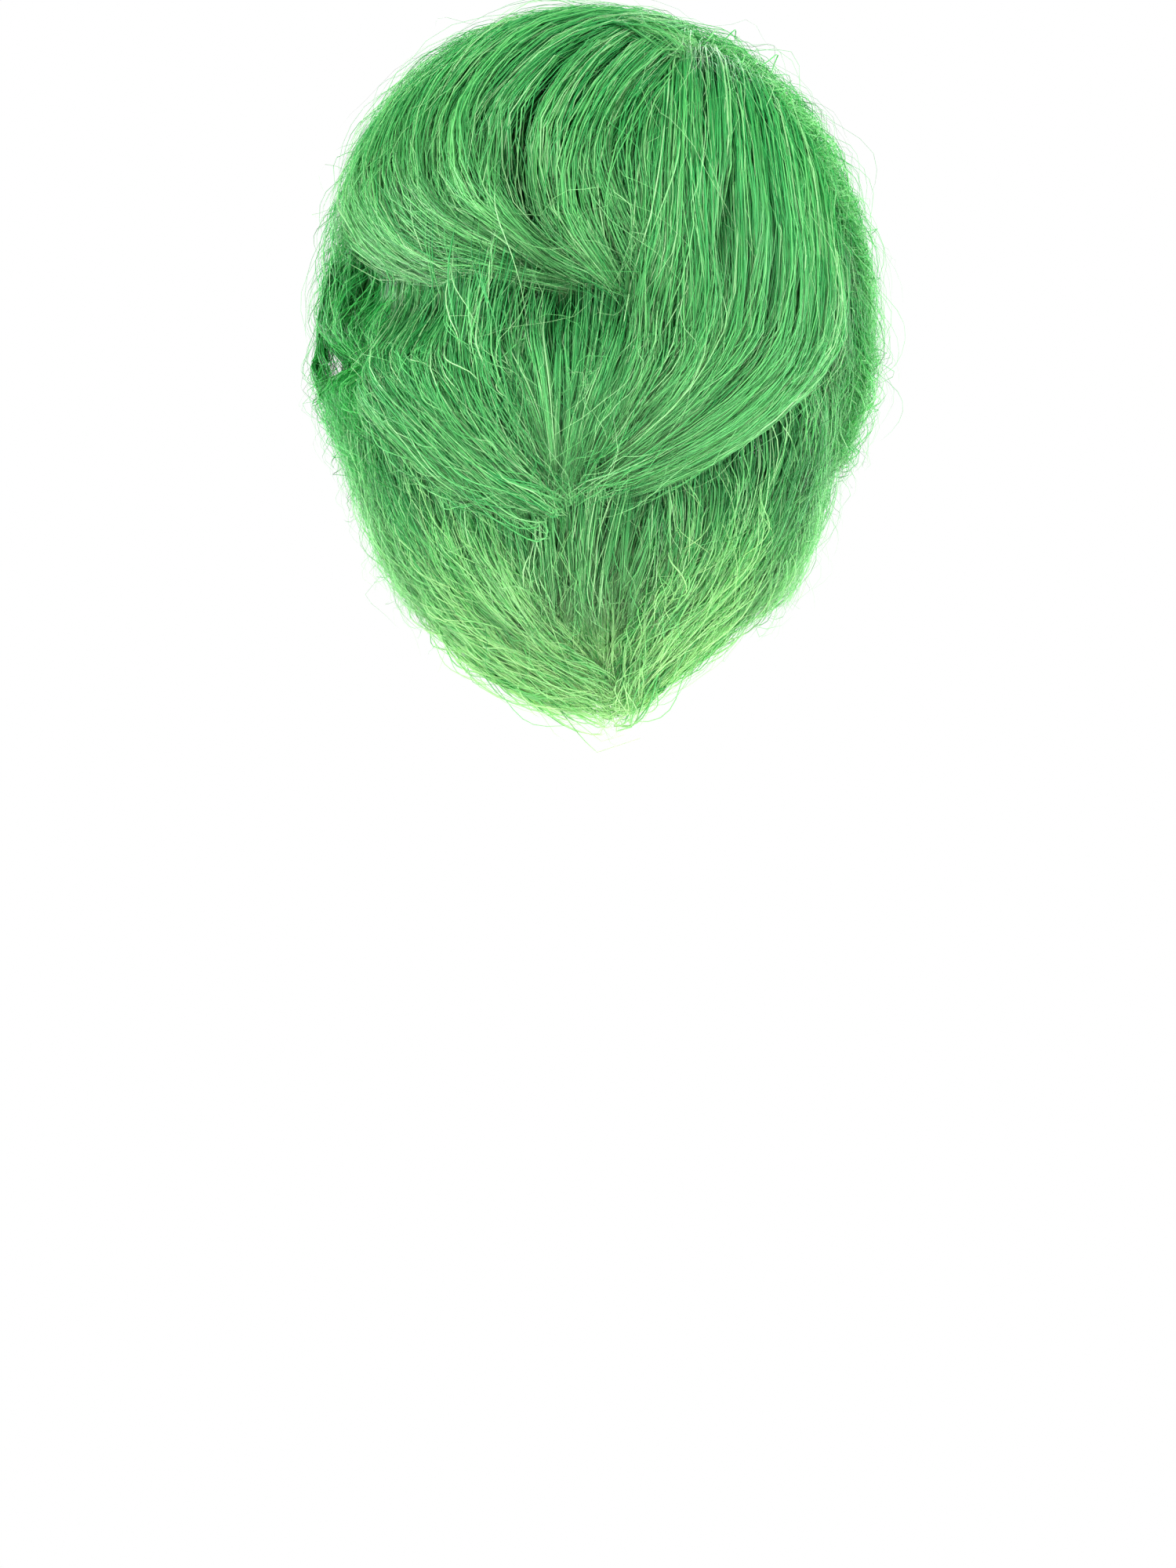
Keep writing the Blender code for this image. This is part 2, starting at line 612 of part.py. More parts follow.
def top_hair():
    """The long top layer that is swept over from the parting on the wearer's right."""
    top = len(LAYERS) - 1
    parting_back = (-62, 26)
    hair_mass(
        "crown_sweep", top,
        [(-146, 40), (180, 35), (142, 42), (100, 58), (58, 74), (12, 81)],
        [parting_back, (-44, 32), (-26, 46), (-16, 60), (-10, 70), (-6, 82)],
        over_crown=True, columns=9, rows=11,
    )
    hair_mass(
        "back_right_sweep", top,
        [(-64, 29), (-38, 39), (-25, 54), (-16, 74), (-9, 96), (4, 120)],
        [(-70, 32), (-64, 56), (-61, 78), (-58, 100), (-34, 118), (10, 130)],
        rows=10,
    )
    hair_mass(
        "side_right_upper", top,
        [(-74, 27), (-68, 56), (-65, 78), (-66, 98), (-78, 118)],
        [(-138, 38), (-130, 58), (-120, 76), (-110, 96), (-104, 120)],
        over_crown=True,
    )
    hair_mass(
        "side_left_upper", top,
        [(58, 79), (64, 90), (70, 103), (78, 116)],
        [(132, 51), (126, 68), (112, 92), (102, 120)],
    )
    hair_mass(
        "fringe_sweep", top,
        [(-150, 52), (-168, 66), (-194, 78), (-222, 92)],
        [(-148, 44), (-176, 42), (-206, 47), (-226, 58), (-236, 82)],
        columns=6,
    )
    hair_mass(
        "fringe_right", top,
        [(-141, 46), (-134, 66), (-123, 90), (-114, 116)],
        [(-152, 54), (-149, 70), (-138, 92), (-126, 108)],
        columns=4,
    )


def middle_hair():
    """The middle layer: a straight fan at the back, and long sweeps towards its tip on both sides."""
    middle = 2
    fan_right = [(-20, 64), (-16, 84), (-6, 106), (4, 130)]
    fan_left = [(16, 64), (20, 84), (16, 104), (10, 128)]
    hair_mass("back_centre_fan", middle, fan_right, fan_left)
    hair_mass("back_left_sweep", middle, fan_left, [(52, 64), (50, 92), (38, 116), (14, 132)])
    hair_mass("back_right_under", middle, [(-56, 64), (-52, 84), (-34, 104), (-6, 126)], fan_right)
    for side, sign in (("left", 1), ("right", -1)):
        hair_mass(
            f"side_{side}_lower", middle,
            [(sign * 56, 66), (sign * 60, 96), (sign * 56, 126), (sign * 44, 152)],
            [(sign * 112, 66), (sign * 100, 96), (sign * 92, 126), (sign * 78, 150)],
        )
        hair_mass(
            f"side_lock_{side}", middle,
            [(sign * 114, 66), (sign * 104, 96), (sign * 97, 122), (sign * 90, 146)],
            [(sign * 132, 66), (sign * 122, 96), (sign * 114, 118), (sign * 104, 138)],
            columns=4,
        )


def low_hair():
    """The low layer: straight wefts that hang below the fan and end in a flipped edge."""
    low = 1
    edges = (-58, -20, 20, 58)
    for name, right, left in zip(("right", "centre", "left"), edges, edges[1:]):
        hair_mass(
            f"lower_back_{name}", low,
            [(right, 99), (right * 0.96, 120), (right * 0.9, 140), (right * 0.84, 160)],
            [(left, 99), (left * 0.96, 120), (left * 0.9, 140), (left * 0.84, 160)],
        )
    for side, sign in (("left", 1), ("right", -1)):
        hair_mass(
            f"lower_side_{side}", low,
            [(sign * 60, 99), (sign * 58, 120), (sign * 54, 140), (sign * 50, 162)],
            [(sign * 92, 99), (sign * 84, 120), (sign * 76, 138), (sign * 66, 152)],
            columns=4,
        )


def nape_hair():
    """The nape hair, whose side locks sweep in towards the lowest tip."""
    nape = 0
    hair_mass(
        "nape_centre", nape,
        [(-16, 124), (-14, 140), (-12, 156), (-14, 172)],
        [(16, 124), (14, 140), (10, 156), (2, 172)],
    )
    hair_mass(
        "nape_left", nape,
        [(18, 124), (16, 142), (12, 160), (-2, 180)],
        [(56, 126), (50, 142), (40, 160), (14, 176)],
    )
    hair_mass(
        "nape_right", nape,
        [(-18, 124), (-18, 142), (-20, 160), (-18, 178)],
        [(-56, 126), (-52, 140), (-46, 154), (-30, 172)],
    )


def hair():
    top_hair()
    middle_hair()
    low_hair()
    nape_hair()


def main():
    clear_scene()
    crown_net()
    edge_bands()
    ribbons()
    weft_tracks()
    parting_patch()
    ear_tabs()
    size_label()
    adjusters()
    hair()


main()
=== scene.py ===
import math

import bpy
import numpy as np
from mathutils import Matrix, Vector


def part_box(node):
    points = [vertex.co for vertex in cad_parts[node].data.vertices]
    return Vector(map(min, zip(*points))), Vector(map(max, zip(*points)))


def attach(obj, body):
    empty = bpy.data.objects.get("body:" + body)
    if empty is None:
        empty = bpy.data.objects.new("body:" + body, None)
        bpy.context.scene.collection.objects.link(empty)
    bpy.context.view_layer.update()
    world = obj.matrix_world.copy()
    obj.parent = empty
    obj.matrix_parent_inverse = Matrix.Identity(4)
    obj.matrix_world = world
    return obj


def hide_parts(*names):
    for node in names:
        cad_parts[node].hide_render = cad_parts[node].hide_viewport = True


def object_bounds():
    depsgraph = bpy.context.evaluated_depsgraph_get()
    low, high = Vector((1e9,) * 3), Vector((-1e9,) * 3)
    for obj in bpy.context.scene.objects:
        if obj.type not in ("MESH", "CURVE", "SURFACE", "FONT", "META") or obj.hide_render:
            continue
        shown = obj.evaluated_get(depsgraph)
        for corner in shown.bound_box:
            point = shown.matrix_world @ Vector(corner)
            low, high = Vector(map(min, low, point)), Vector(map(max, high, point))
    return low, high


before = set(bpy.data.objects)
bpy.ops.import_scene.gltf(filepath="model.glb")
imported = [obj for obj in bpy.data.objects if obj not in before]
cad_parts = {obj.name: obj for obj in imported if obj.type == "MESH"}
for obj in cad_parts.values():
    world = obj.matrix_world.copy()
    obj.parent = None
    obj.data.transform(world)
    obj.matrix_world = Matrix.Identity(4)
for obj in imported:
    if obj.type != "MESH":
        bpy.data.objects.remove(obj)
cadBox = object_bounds()

# the head and the outer face of the hair, as the frame gives them
netLow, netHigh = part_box("crown_net")
netLift = 0.0025  # the net's outer face over the head
wigForm = {
    "crownHeight": 0.100,  # the crown over the widest level
    "dropHeight": 0.135,  # the lowest lock under the widest level
    "headHalfWidth": (netHigh.x - netLow.x) / 2 - netLift,
    "headHalfDepth": netHigh.y - netLift,
    "neckHalfWidth": 0.042,
    "neckHalfDepth": 0.050,
    "hairHalfWidth": cadBox[1][0],
    "hairHalfDepth": 0.124,
    "hairRise": cadBox[1][2],
    "lowHalfWidth": 0.062,
    "lowHalfDepth": 0.074,
    "squareness": 2.2,
    "headSquareness": 2.0,
}


def eased(value):
    # 3x^2 - 2x^3, held between 0 and 1
    share = np.clip(value, 0, 1)
    return share * share * (3 - 2 * share)


def formPart(fall, halfWidth, halfDepth, rise, lowWidth, lowDepth, power):
    # above the widest level a superellipse, width sin(fall)^(2/p) and height cos(fall)^(2/p); below
    # it an eased waist
    upper = np.radians(np.clip(fall, 0, 90))
    radius = np.sin(upper) ** (2 / power)
    lower = np.clip((fall - 90) / 90, 0, 1.2)
    waist = eased(lower)
    width = halfWidth * radius * (1 - waist) + lowWidth * waist
    depth = halfDepth * radius * (1 - waist) + lowDepth * waist
    height = rise * np.cos(upper) ** (2 / power) - wigForm["dropHeight"] * lower
    return width, depth, height - wigForm["crownHeight"]


def placeOn(turn, fall, share):
    # a point at turn degrees round from the back, fall degrees down, share 0 on the head and 1 on the
    # hair's outer face
    f = wigForm
    head = formPart(fall, f["headHalfWidth"], f["headHalfDepth"], f["crownHeight"],
                    f["neckHalfWidth"], f["neckHalfDepth"], f["headSquareness"])
    hair = formPart(fall, f["hairHalfWidth"], f["hairHalfDepth"], f["crownHeight"] + f["hairRise"],
                    f["lowHalfWidth"], f["lowHalfDepth"], f["squareness"])
    width, depth, height = (a * (1 - share) + b * share for a, b in zip(head, hair))
    around = np.radians(turn)
    return np.stack([width * np.sin(around), depth * np.cos(around), height], -1)


def smoothSpan(before, start, end, after, t):
    # Catmull-Rom from start to end: a cubic whose slope at each of them is half the step between its neighbours
    slopeIn, slopeOut = (end - before) / 2, (after - start) / 2
    square, cube = t * t, t * t * t
    return ((2 * cube - 3 * square + 1) * start + (cube - 2 * square + t) * slopeIn
            + (3 * square - 2 * cube) * end + (cube - square) * slopeOut)


def curveThrough(points, count):
    # a smooth curve through the points, read at count even steps
    known = np.asarray(points, float)
    last = len(known) - 1
    at = np.linspace(0, last, count)
    index = np.minimum(at.astype(int), last - 1)
    return smoothSpan(known[np.maximum(index - 1, 0)], known[index], known[index + 1],
                      known[np.minimum(index + 2, last)], (at - index)[:, None])


def unit(vectors):
    # each vector over its own length
    return vectors / np.maximum(np.linalg.norm(vectors, axis=-1, keepdims=True), 1e-9)


def linked(name, content):
    # a new object of a mesh, camera or light, in the scene
    made = bpy.data.objects.new(name, content)
    bpy.context.scene.collection.objects.link(made)
    return made


def onWig(piece, slotName, *nodes):
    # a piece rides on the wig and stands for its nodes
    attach(piece, "wig")
    if nodes:
        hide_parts(*nodes)


# materials
class Wire:
    # a node's output, on which sums and products build Math nodes
    def __init__(self, kit, socket):
        self.kit, self.socket = kit, socket

    def math(self, operation, other, flipped=False):
        pair = (other, self) if flipped else (self, other)
        return self.kit.node("ShaderNodeMath", {"operation": operation}, {0: pair[0], 1: pair[1]})

    def __add__(self, other):
        return self.math("ADD", other)

    def __sub__(self, other):
        return self.math("SUBTRACT", other)

    def __rsub__(self, other):
        return self.math("SUBTRACT", other, True)

    def __mul__(self, other):
        return self.math("MULTIPLY", other)

    __radd__, __rmul__ = __add__, __mul__  # either order gives the same


class Kit:
    # a new material and its nodes, made one at a time by node()
    def __init__(self, name):
        self.material = bpy.data.materials.new(name)
        self.material.use_nodes = True
        self.tree = self.material.node_tree
        self.tree.nodes.clear()

    def node(self, kind, settings=None, sockets=None, out=0):
        made = self.tree.nodes.new(kind)
        for key, value in (settings or {}).items():
            if key == "ramp":
                fillRamp(made.color_ramp, value)
            else:
                setattr(made, key, value)
        for key, value in (sockets or {}).items():
            if isinstance(value, Wire):
                self.tree.links.new(value.socket, made.inputs[key])
            else:
                made.inputs[key].default_value = value
        return Wire(self, made.outputs[out])

    def ramp(self, factor, stops):
        return self.node("ShaderNodeValToRGB", {"ramp": stops}, {"Fac": factor})

    def mix(self, factor, first, second, blend="MIX"):
        settings = {"data_type": "RGBA", "blend_type": blend}
        return self.node("ShaderNodeMix", settings, {0: factor, 6: first, 7: second}, out=2)

    def parts(self, vector):
        split = self.node("ShaderNodeSeparateXYZ", {}, {0: vector})
        return split, Wire(self, split.socket.node.outputs[1])

    def finish(self, shader):
        output = self.tree.nodes.new("ShaderNodeOutputMaterial")
        self.tree.links.new(shader.socket, output.inputs["Surface"])
        return self.material


def fillRamp(ramp, stops):
    # stops are (position, colour)
    while len(ramp.elements) < len(stops):
        ramp.elements.new(1.0)
    for element, (position, colour) in zip(ramp.elements, stops):
        element.position, element.color = position, (*colour, 1)


fibre = {
    "tones": [  # from the deepest strand to the palest
        (0.0, (0.001, 0.130, 0.013)),
        (0.25, (0.003, 0.320, 0.054)),
        (0.5, (0.040, 0.490, 0.118)),
        (0.75, (0.140, 0.660, 0.180)),
        (1.0, (0.440, 0.830, 0.400)),
    ],
    # painted light: the pale green that tips are mixed towards, for light shining through them
    "pale": (0.680, 0.950, 0.500),
    "root": (0.09, 0.20, 0.14),  # painted shade: the colour a strand's root is multiplied by, for the shade deep under the other strands
    "roughness": 0.32,
    "shine": 0.36,
}


def fibreMaterial(name, paintedTipLight, rootEnd, tint, glow):
    # colour: the strand's own tone (v) picks a green; along it (u) the root is darkened as painted shade and the
    # tip turns pale as painted light, for light shining through it
    kit = Kit(name)
    uv = kit.node("ShaderNodeUVMap", {"uv_map": "OFBake"})
    along, tone = kit.parts(uv)
    picked = kit.ramp(tone, fibre["tones"])
    # painted light: the tip is mixed towards pale green, for light shining through it
    tipPaintedLight = kit.ramp(along, [(0.0, (0, 0, 0)), (0.45, (paintedTipLight * 0.3,) * 3), (1.0, (paintedTipLight,) * 3)])
    coloured = kit.mix(tipPaintedLight, picked, (*fibre["pale"], 1))
    # painted shade: the root is darkened towards the root colour
    rootShade = kit.ramp(along, [(0.0, fibre["root"]), (rootEnd, (1, 1, 1))])
    coloured = kit.mix(1.0, coloured, rootShade, "MULTIPLY")
    coloured = kit.mix(1.0, coloured, (*tint, 1), "MULTIPLY")
    skin = kit.node("ShaderNodeBsdfPrincipled", {}, {
        "Base Color": coloured, "Roughness": fibre["roughness"], "Specular IOR Level": fibre["shine"]})
    through = kit.node("ShaderNodeBsdfTranslucent", {}, {"Color": coloured})
    return kit.finish(kit.node("ShaderNodeMixShader", {}, {0: glow, 1: skin, 2: through}))


# strands
toneCount = 64  # how many tones a strand may have
fullTurn = 6.28  # in radians


def tubes(paths, halfWidths, outward, tones):
    # each strand is a closed tube of three sides: two corners beside the path and one out from it,
    # narrowing to a point
    strands, steps = paths.shape[:2]
    along = unit(np.gradient(paths, axis=1))
    side = unit(np.cross(along, outward))
    top = unit(np.cross(side, along))
    rings = steps - 1
    reach = halfWidths[:, :rings, None]
    centre = paths[:, :rings]
    corners = np.stack([centre - side[:, :rings] * reach, centre + side[:, :rings] * reach,
                        centre + top[:, :rings] * reach * 0.8], 2)
    points = np.concatenate([corners.reshape(strands, rings * 3, 3), paths[:, -1:]], 1).reshape(-1, 3)
    ring = np.arange(rings - 1)[:, None] * 3
    corner = np.arange(3)[None]
    following = (corner + 1) % 3
    quads = np.stack([ring + corner, ring + following, ring + 3 + following, ring + 3 + corner], -1)
    quads = quads.reshape(-1, 4)
    lastRing = (rings - 1) * 3
    tips = np.stack([lastRing + np.arange(3), lastRing + (np.arange(3) + 1) % 3, np.full(3, rings * 3)], -1)
    ends = np.concatenate([tips, [[2, 1, 0]]])
    base = (np.arange(strands) * (rings * 3 + 1))[:, None, None]
    # the map: u along the strand, v its tone
    u = np.append(np.repeat(np.linspace(0.002, 0.998, steps)[:rings], 3), 0.998)
    v = np.append(np.tile([0.2, 0.8, 0.5], rings), 0.5)
    uv = np.stack([np.tile(u, (strands, 1)), (tones[:, None] + v[None]) / toneCount], -1).reshape(-1, 2)
    return points, (quads[None] + base).reshape(-1, 4), (ends[None] + base).reshape(-1, 3), uv


def joinedMesh(name, parts):
    # parts are (points, quads, triangles, uv); their point numbers are moved up to follow each other
    counts = [0, *np.cumsum([len(part[0]) for part in parts])]
    points = np.concatenate([part[0] for part in parts])
    quads = np.concatenate([part[1] + first for part, first in zip(parts, counts)])
    ends = np.concatenate([part[2] + first for part, first in zip(parts, counts)])
    uv = np.concatenate([part[3] for part in parts])
    loops = np.concatenate([quads.reshape(-1), ends.reshape(-1)]).astype(np.int32)
    starts = np.concatenate([np.arange(len(quads)) * 4, len(quads) * 4 + np.arange(len(ends)) * 3])
    mesh = bpy.data.meshes.new(name)
    mesh.vertices.add(len(points))
    mesh.vertices.foreach_set("co", points.reshape(-1).astype(np.float32))
    mesh.loops.add(len(loops))
    mesh.loops.foreach_set("vertex_index", loops)
    mesh.polygons.add(len(starts))
    mesh.polygons.foreach_set("loop_start", starts.astype(np.int32))
    mesh.update(calc_edges=True)
    mesh.shade_smooth()
    layer = mesh.uv_layers.new(name="OFBake")
    layer.uv.foreach_set("vector", uv[loops].reshape(-1).astype(np.float32))
    return mesh


def toMap(polar):
    # turn and fall as a flat map of the crown, so that a curve can cross the top
    around = np.radians(polar[..., 0])
    return np.stack([polar[..., 1] * np.sin(around), polar[..., 1] * np.cos(around)], -1)


def guideGrid(plan, steps=33):
    # a smooth curve through each guide's points, in turn and fall, or on the crown's map where it crosses the top
    guides = np.asarray(plan["guides"], float)
    flat = toMap(guides) if plan.get("overCrown") else guides
    return np.stack([curveThrough(line, steps) for line in flat])


def readGrid(lines, across, along):
    # the guides read in between: straight along them, and smoothly from one to the next
    guides, steps = lines.shape[:2]
    row, column = np.clip(across, 0, 1) * (guides - 1), np.clip(along, 0, 1) * (steps - 1)
    firstRow = np.minimum(row.astype(int), guides - 2)
    firstColumn = np.minimum(column.astype(int), steps - 2)
    part = (column - firstColumn)[..., None]

    def line(index):
        index = np.clip(index, 0, guides - 1)
        return lines[index, firstColumn] * (1 - part) + lines[index, firstColumn + 1] * part

    near = (line(firstRow + offset) for offset in (-1, 0, 1, 2))
    return smoothSpan(*near, (row - firstRow)[..., None])


strandHabit = {  # how the strands of every mass behave
    "towardsFace": 1.4,  # over 1, more strands lie near the outer face
    "clumpTowardsFace": 1.3,
    "deepWeight": 0.12,  # how much depth counts beside width when a strand picks its clump
    "lockShorter": 0.4,  # how much shorter a whole lock may be
    "longer": 1.7,  # over 1, more strands are long
    "flyHeld": 0.15,  # how far loose hairs follow their clump
    "deepFree": 0.8,  # how much freer the deep strands are
    "strayPart": 0.3,  # the part of the strands that stray fully, and how far the rest do
    "lockSway": 0.035,
    "lockSwayRate": 4.5,
    "edgeDrop": 0.16,  # how far the mass falls away at its two edges
    "edgeFrom": 0.7,
    "lowest": 0.16,  # no strand lies deeper than this share
    "slowFrizz": 4,
    "quickFrizz": 7,
    "toneLock": 0.05,  # how far the tone varies by lock, by clump and by strand
    "toneClump": 0.08,
    "toneStrand": 0.22,
    "deepPaintedShade": 0.38,  # painted shade: how much darker the deepest strand is made, for the shade under the outer strands
}
hairDefaults = {
    "count": 1000,
    "steps": 11,
    "halfWidth": 0.00024,
    "spill": 0.10,  # how far the strands reach past the first and last guide, as a share of the width
    "locks": 26,  # large locks across the mass
    "clumps": 300,  # fine clumps
    "lockPull": 0.35,
    "clumpPull": 0.60,
    "lockRelief": 0.05,  # how far a lock stands over the furrow beside it, as a share
    "depth": 0.26,  # the mass's thickness, as a share of all the hair's
    "shares": [0.8, 1.0, 1.0, 0.95],  # the outer face from root to tip
    "rootShare": 0.24,
    "rise": 0.16,  # the part of the length in which a strand rises from its root
    "rootStart": 0.0,
    "rootSpread": 0.30,  # the part of the length over which the rows of roots lie
    "shortest": 0.60,  # the shortest strand's tip
    "reach": None,  # the strands' own length, where it doesn't run to the mass's tip
    "tipSpread": 0.08,
    "wave": 0.0014,
    "frizz": 0.0013,
    "curl": 0.0,
    "flyaways": 0.06,
    "flyShare": 0.03,
    "highest": 1.4,  # no strand rises past this share
    # painted light: how far the tips are mixed towards pale green, for light shining through them
    "paintedTipLight": 0.20,
    "tone": 0.56,
    "overCrown": False,
    "hollowed": True,
    "rootShade": 0.10,  # the part of the length that is darkened at the root, as painted shade deep under the other strands
    "tint": (1.0, 1.0, 1.0),
    "glow": 0.32,  # how much light comes through
    "fuzz": 220,  # loose hairs over the mass
    "under": 420,  # wisps under it
}
leftPaintedShade = {"tint": (0.55, 1.0, 0.74), "glow": 0.50}  # painted shade: a deeper, more saturated green for the left side, for the shade of its hollows; the glow is light through it
fuzzChanges = {
    "steps": 9, "halfWidth": 0.00015, "rootSpread": 0.88, "reach": 0.22, "rootShare": 0.93, "rise": 0.05,
    "depth": 0.05, "tipSpread": 0.18, "frizz": 0.0022, "wave": 0.002, "clumpPull": 0.1, "lockPull": 0.0,
    "flyaways": 0.6, "flyShare": 0.10, "tone": 0.85, "curl": 0.0016,
}
underShare = 0.6  # how high the wisps lie beside the mass's outer face
underChanges = {  # broad dark wisps close to the cap, so that it doesn't show; their dark tone is painted shade under the mass
    "steps": 6, "halfWidth": 0.0011, "rootStart": -0.12, "rootSpread": 0.88, "reach": 0.26, "rootShare": 0.30,
    "rise": 0.04, "depth": 0.10, "tone": 0.24, "tipSpread": 0.05, "frizz": 0.0006, "wave": 0.0006,
    "clumpPull": 0.0, "lockPull": 0.0, "lockRelief": 0.0, "flyaways": 0.0, "curl": 0.0, "spill": 0.03,
}
hollows = [  # from (turn, fall) to (turn, fall), how wide in degrees, how deep as a share
    ((20, 62), (8, 83), 4.0, 0.38),
    ((14, 85), (-14, 89), 6.0, 0.34),
    ((-5, 79), (-13, 88), 3.0, 0.34),
    ((-29, 70), (-26, 80), 2.5, 0.34),
    ((72, 80), (40, 84), 8.5, 0.70),
    ((64, 93), (120, 93), 4.5, 0.44),
    ((70, 92), (62, 98), 3.5, 0.25),
    ((30, 92), (13, 124), 3.0, 0.10),
    ((-58, 96), (-36, 119), 4.5, 0.14),
    ((-36, 119), (-14, 128), 4.0, 0.16),
    ((-63, 72), (-79, 110), 4.0, 0.16),
    ((-8, 152), (-8, 160), 2.5, 0.20),
]


def hollowed(turn, fall, share):
    # each hollow takes depth * exp(-(distance / width)^2) off the share, by the distance from its own line
    for start, end, width, depth in hollows:
        squeeze = np.sin(np.radians(np.clip(fall, 20, 90)))
        x, y = (turn - start[0]) * squeeze, fall - start[1]
        lineX, lineY = end[0] - start[0], end[1] - start[1]
        at = np.clip((x * lineX + y * lineY) / (lineX ** 2 + lineY ** 2), 0, 1)
        gap = ((x - at * lineX) ** 2 + (y - at * lineY) ** 2) / width ** 2
        share = share - depth * np.exp(-gap)
    return share


def widened(lines, spill):
    # the first and last guide moved outwards by spill times the gap to their neighbours
    first = lines[0] + (lines[0] - lines[1]) * spill
    last = lines[-1] + (lines[-1] - lines[-2]) * spill
    return np.concatenate([first[None], lines[1:-1], last[None]])


def strandPaths(plan, rng):
    # a strand runs along the guides at its own place across them. Its share of the hair's thickness is the mass's
    # outer face less its depth, plus its lock's height. Waves, frizz and curls are then added to its line
    count, steps, habit = plan["count"], plan["steps"], strandHabit
    lines = widened(guideGrid(plan), plan["spill"] * (len(plan["guides"]) - 1))
    across, deep = rng.random(count), rng.random(count) ** habit["towardsFace"]
    # each strand drifts towards its clump's centre, and each clump towards its lock's, as it nears the tip
    lockAcross = rng.random(plan["locks"])
    clumpAcross = rng.random(plan["clumps"])
    clumpDeep = rng.random(plan["clumps"]) ** habit["clumpTowardsFace"]
    clumpLock = np.argmin(np.abs(lockAcross[None] - clumpAcross[:, None]), 1)
    clump = np.argmin(np.abs(clumpAcross[None] - across[:, None])
                      + habit["deepWeight"] * np.abs(clumpDeep[None] - deep[:, None]), 1)
    lock = clumpLock[clump]
    fly = (rng.random(count) < plan["flyaways"])[:, None]
    t = np.linspace(0, 1, steps)[None]
    rootSpan = plan["rootSpread"] - plan["rootStart"]
    root = np.maximum(plan["rootStart"] + rootSpan * rng.random((count, 1)), 0)
    lockLength = rng.random(plan["locks"])[lock][:, None] * habit["lockShorter"]
    tip = 1 - (1 - plan["shortest"]) * np.maximum(lockLength, rng.random((count, 1)) ** habit["longer"])
    if plan["reach"]:
        tip = root + plan["reach"] * (0.5 + rng.random((count, 1)))
    along = root + (tip - root) * t
    held = np.where(fly, habit["flyHeld"], 1) * (1 - habit["deepFree"] * deep[:, None])
    pullClump = plan["clumpPull"] * eased(t * 1.3) * held
    pullLock = plan["lockPull"] * eased(t)
    lockCentre, clumpCentre = lockAcross[lock][:, None], clumpAcross[clump][:, None]
    centre = clumpCentre + (lockCentre - clumpCentre) * pullLock
    placed = across[:, None] + (centre - across[:, None]) * pullClump
    strayPart = habit["strayPart"]
    stray = np.where(rng.random((count, 1)) < strayPart, 1.0, strayPart) * np.where(fly, 1.5, 1)
    placed = placed + plan["tipSpread"] * rng.normal(size=(count, 1)) * t ** 2 * stray
    sunk = deep[:, None] + (clumpDeep[clump][:, None] - deep[:, None]) * pullClump
    lockPhase = rng.random(plan["locks"])[lock][:, None] * fullTurn
    placed = placed + habit["lockSway"] * np.sin(along * habit["lockSwayRate"] + lockPhase) * eased(along * 1.3)
    place = readGrid(lines, placed, along)
    if plan["overCrown"]:
        fall = np.hypot(place[..., 0], place[..., 1])
        turn = np.degrees(np.arctan2(place[..., 0], place[..., 1]))
    else:
        turn, fall = place[..., 0], place[..., 1]
    shares = np.asarray(plan["shares"], float)
    outer = np.interp(along, np.linspace(0, 1, len(shares)), shares)
    furrow = np.minimum(np.abs(placed - lockCentre) * plan["locks"], 1) ** 2
    lockHeight = (rng.random(plan["locks"])[lock][:, None] - 0.5) * 1.4 - furrow
    edge = habit["edgeDrop"] * np.clip(np.abs(2 * placed - 1) - habit["edgeFrom"], 0, 1) / 0.3
    share = outer - sunk * plan["depth"] + plan["lockRelief"] * lockHeight * eased(t * 2) - edge
    share = share + np.where(fly, plan["flyShare"] * rng.random((count, 1)) * (1 + 2 * t), 0)
    rise = eased((t * (tip - root)) / plan["rise"])
    share = plan["rootShare"] + (share - plan["rootShare"]) * rise
    share = hollowed(turn, fall, share) if plan["hollowed"] else share
    share = np.clip(share, habit["lowest"], plan["highest"])
    points = placeOn(turn, fall, share)
    outward = unit(placeOn(turn, fall, share + 0.2) - points)
    sideways = unit(np.cross(unit(np.gradient(points, axis=1)), outward))
    # waves that grow towards the tip: a clump's own, a finer one of each strand, and curls where asked;
    # each is size * sin(rate * length + phase) outwards and the same with cos sideways
    clumpPhase = rng.random(plan["clumps"])[clump][:, None] * fullTurn
    phase = rng.random((count, 1)) * fullTurn
    rate = habit["slowFrizz"] + habit["quickFrizz"] * rng.random((count, 1))
    frizz = plan["frizz"] * np.where(fly, 3.0, 0.45) * (0.4 + rng.random((count, 1)))
    swayOut = plan["wave"] * np.sin(along * 7 + clumpPhase) + frizz * np.sin(along * rate + phase)
    swaySide = (plan["wave"] * np.cos(along * 6 + clumpPhase * 1.7)
                + frizz * np.cos(along * rate * 0.8 + phase * 2))
    if plan["curl"]:
        turns = plan.get("curlTurns", 1.6) * (0.6 + 0.8 * rng.random((count, 1)))
        size = plan["curl"] * (0.4 + rng.random((count, 1)))
        swayOut = swayOut + size * np.sin(t * turns * fullTurn + clumpPhase)
        swaySide = swaySide + size * np.cos(t * turns * fullTurn + clumpPhase)
    sway = outward * swayOut[..., None] + sideways * swaySide[..., None]
    points = points + sway * eased(t * 1.5)[..., None]
    taper = (1 - 0.75 * t ** 3) * np.minimum(1, 0.6 + 4 * t)
    widths = plan["halfWidth"] * (0.6 + 0.8 * rng.random((count, 1))) * np.where(fly, 0.6, 1) * taper
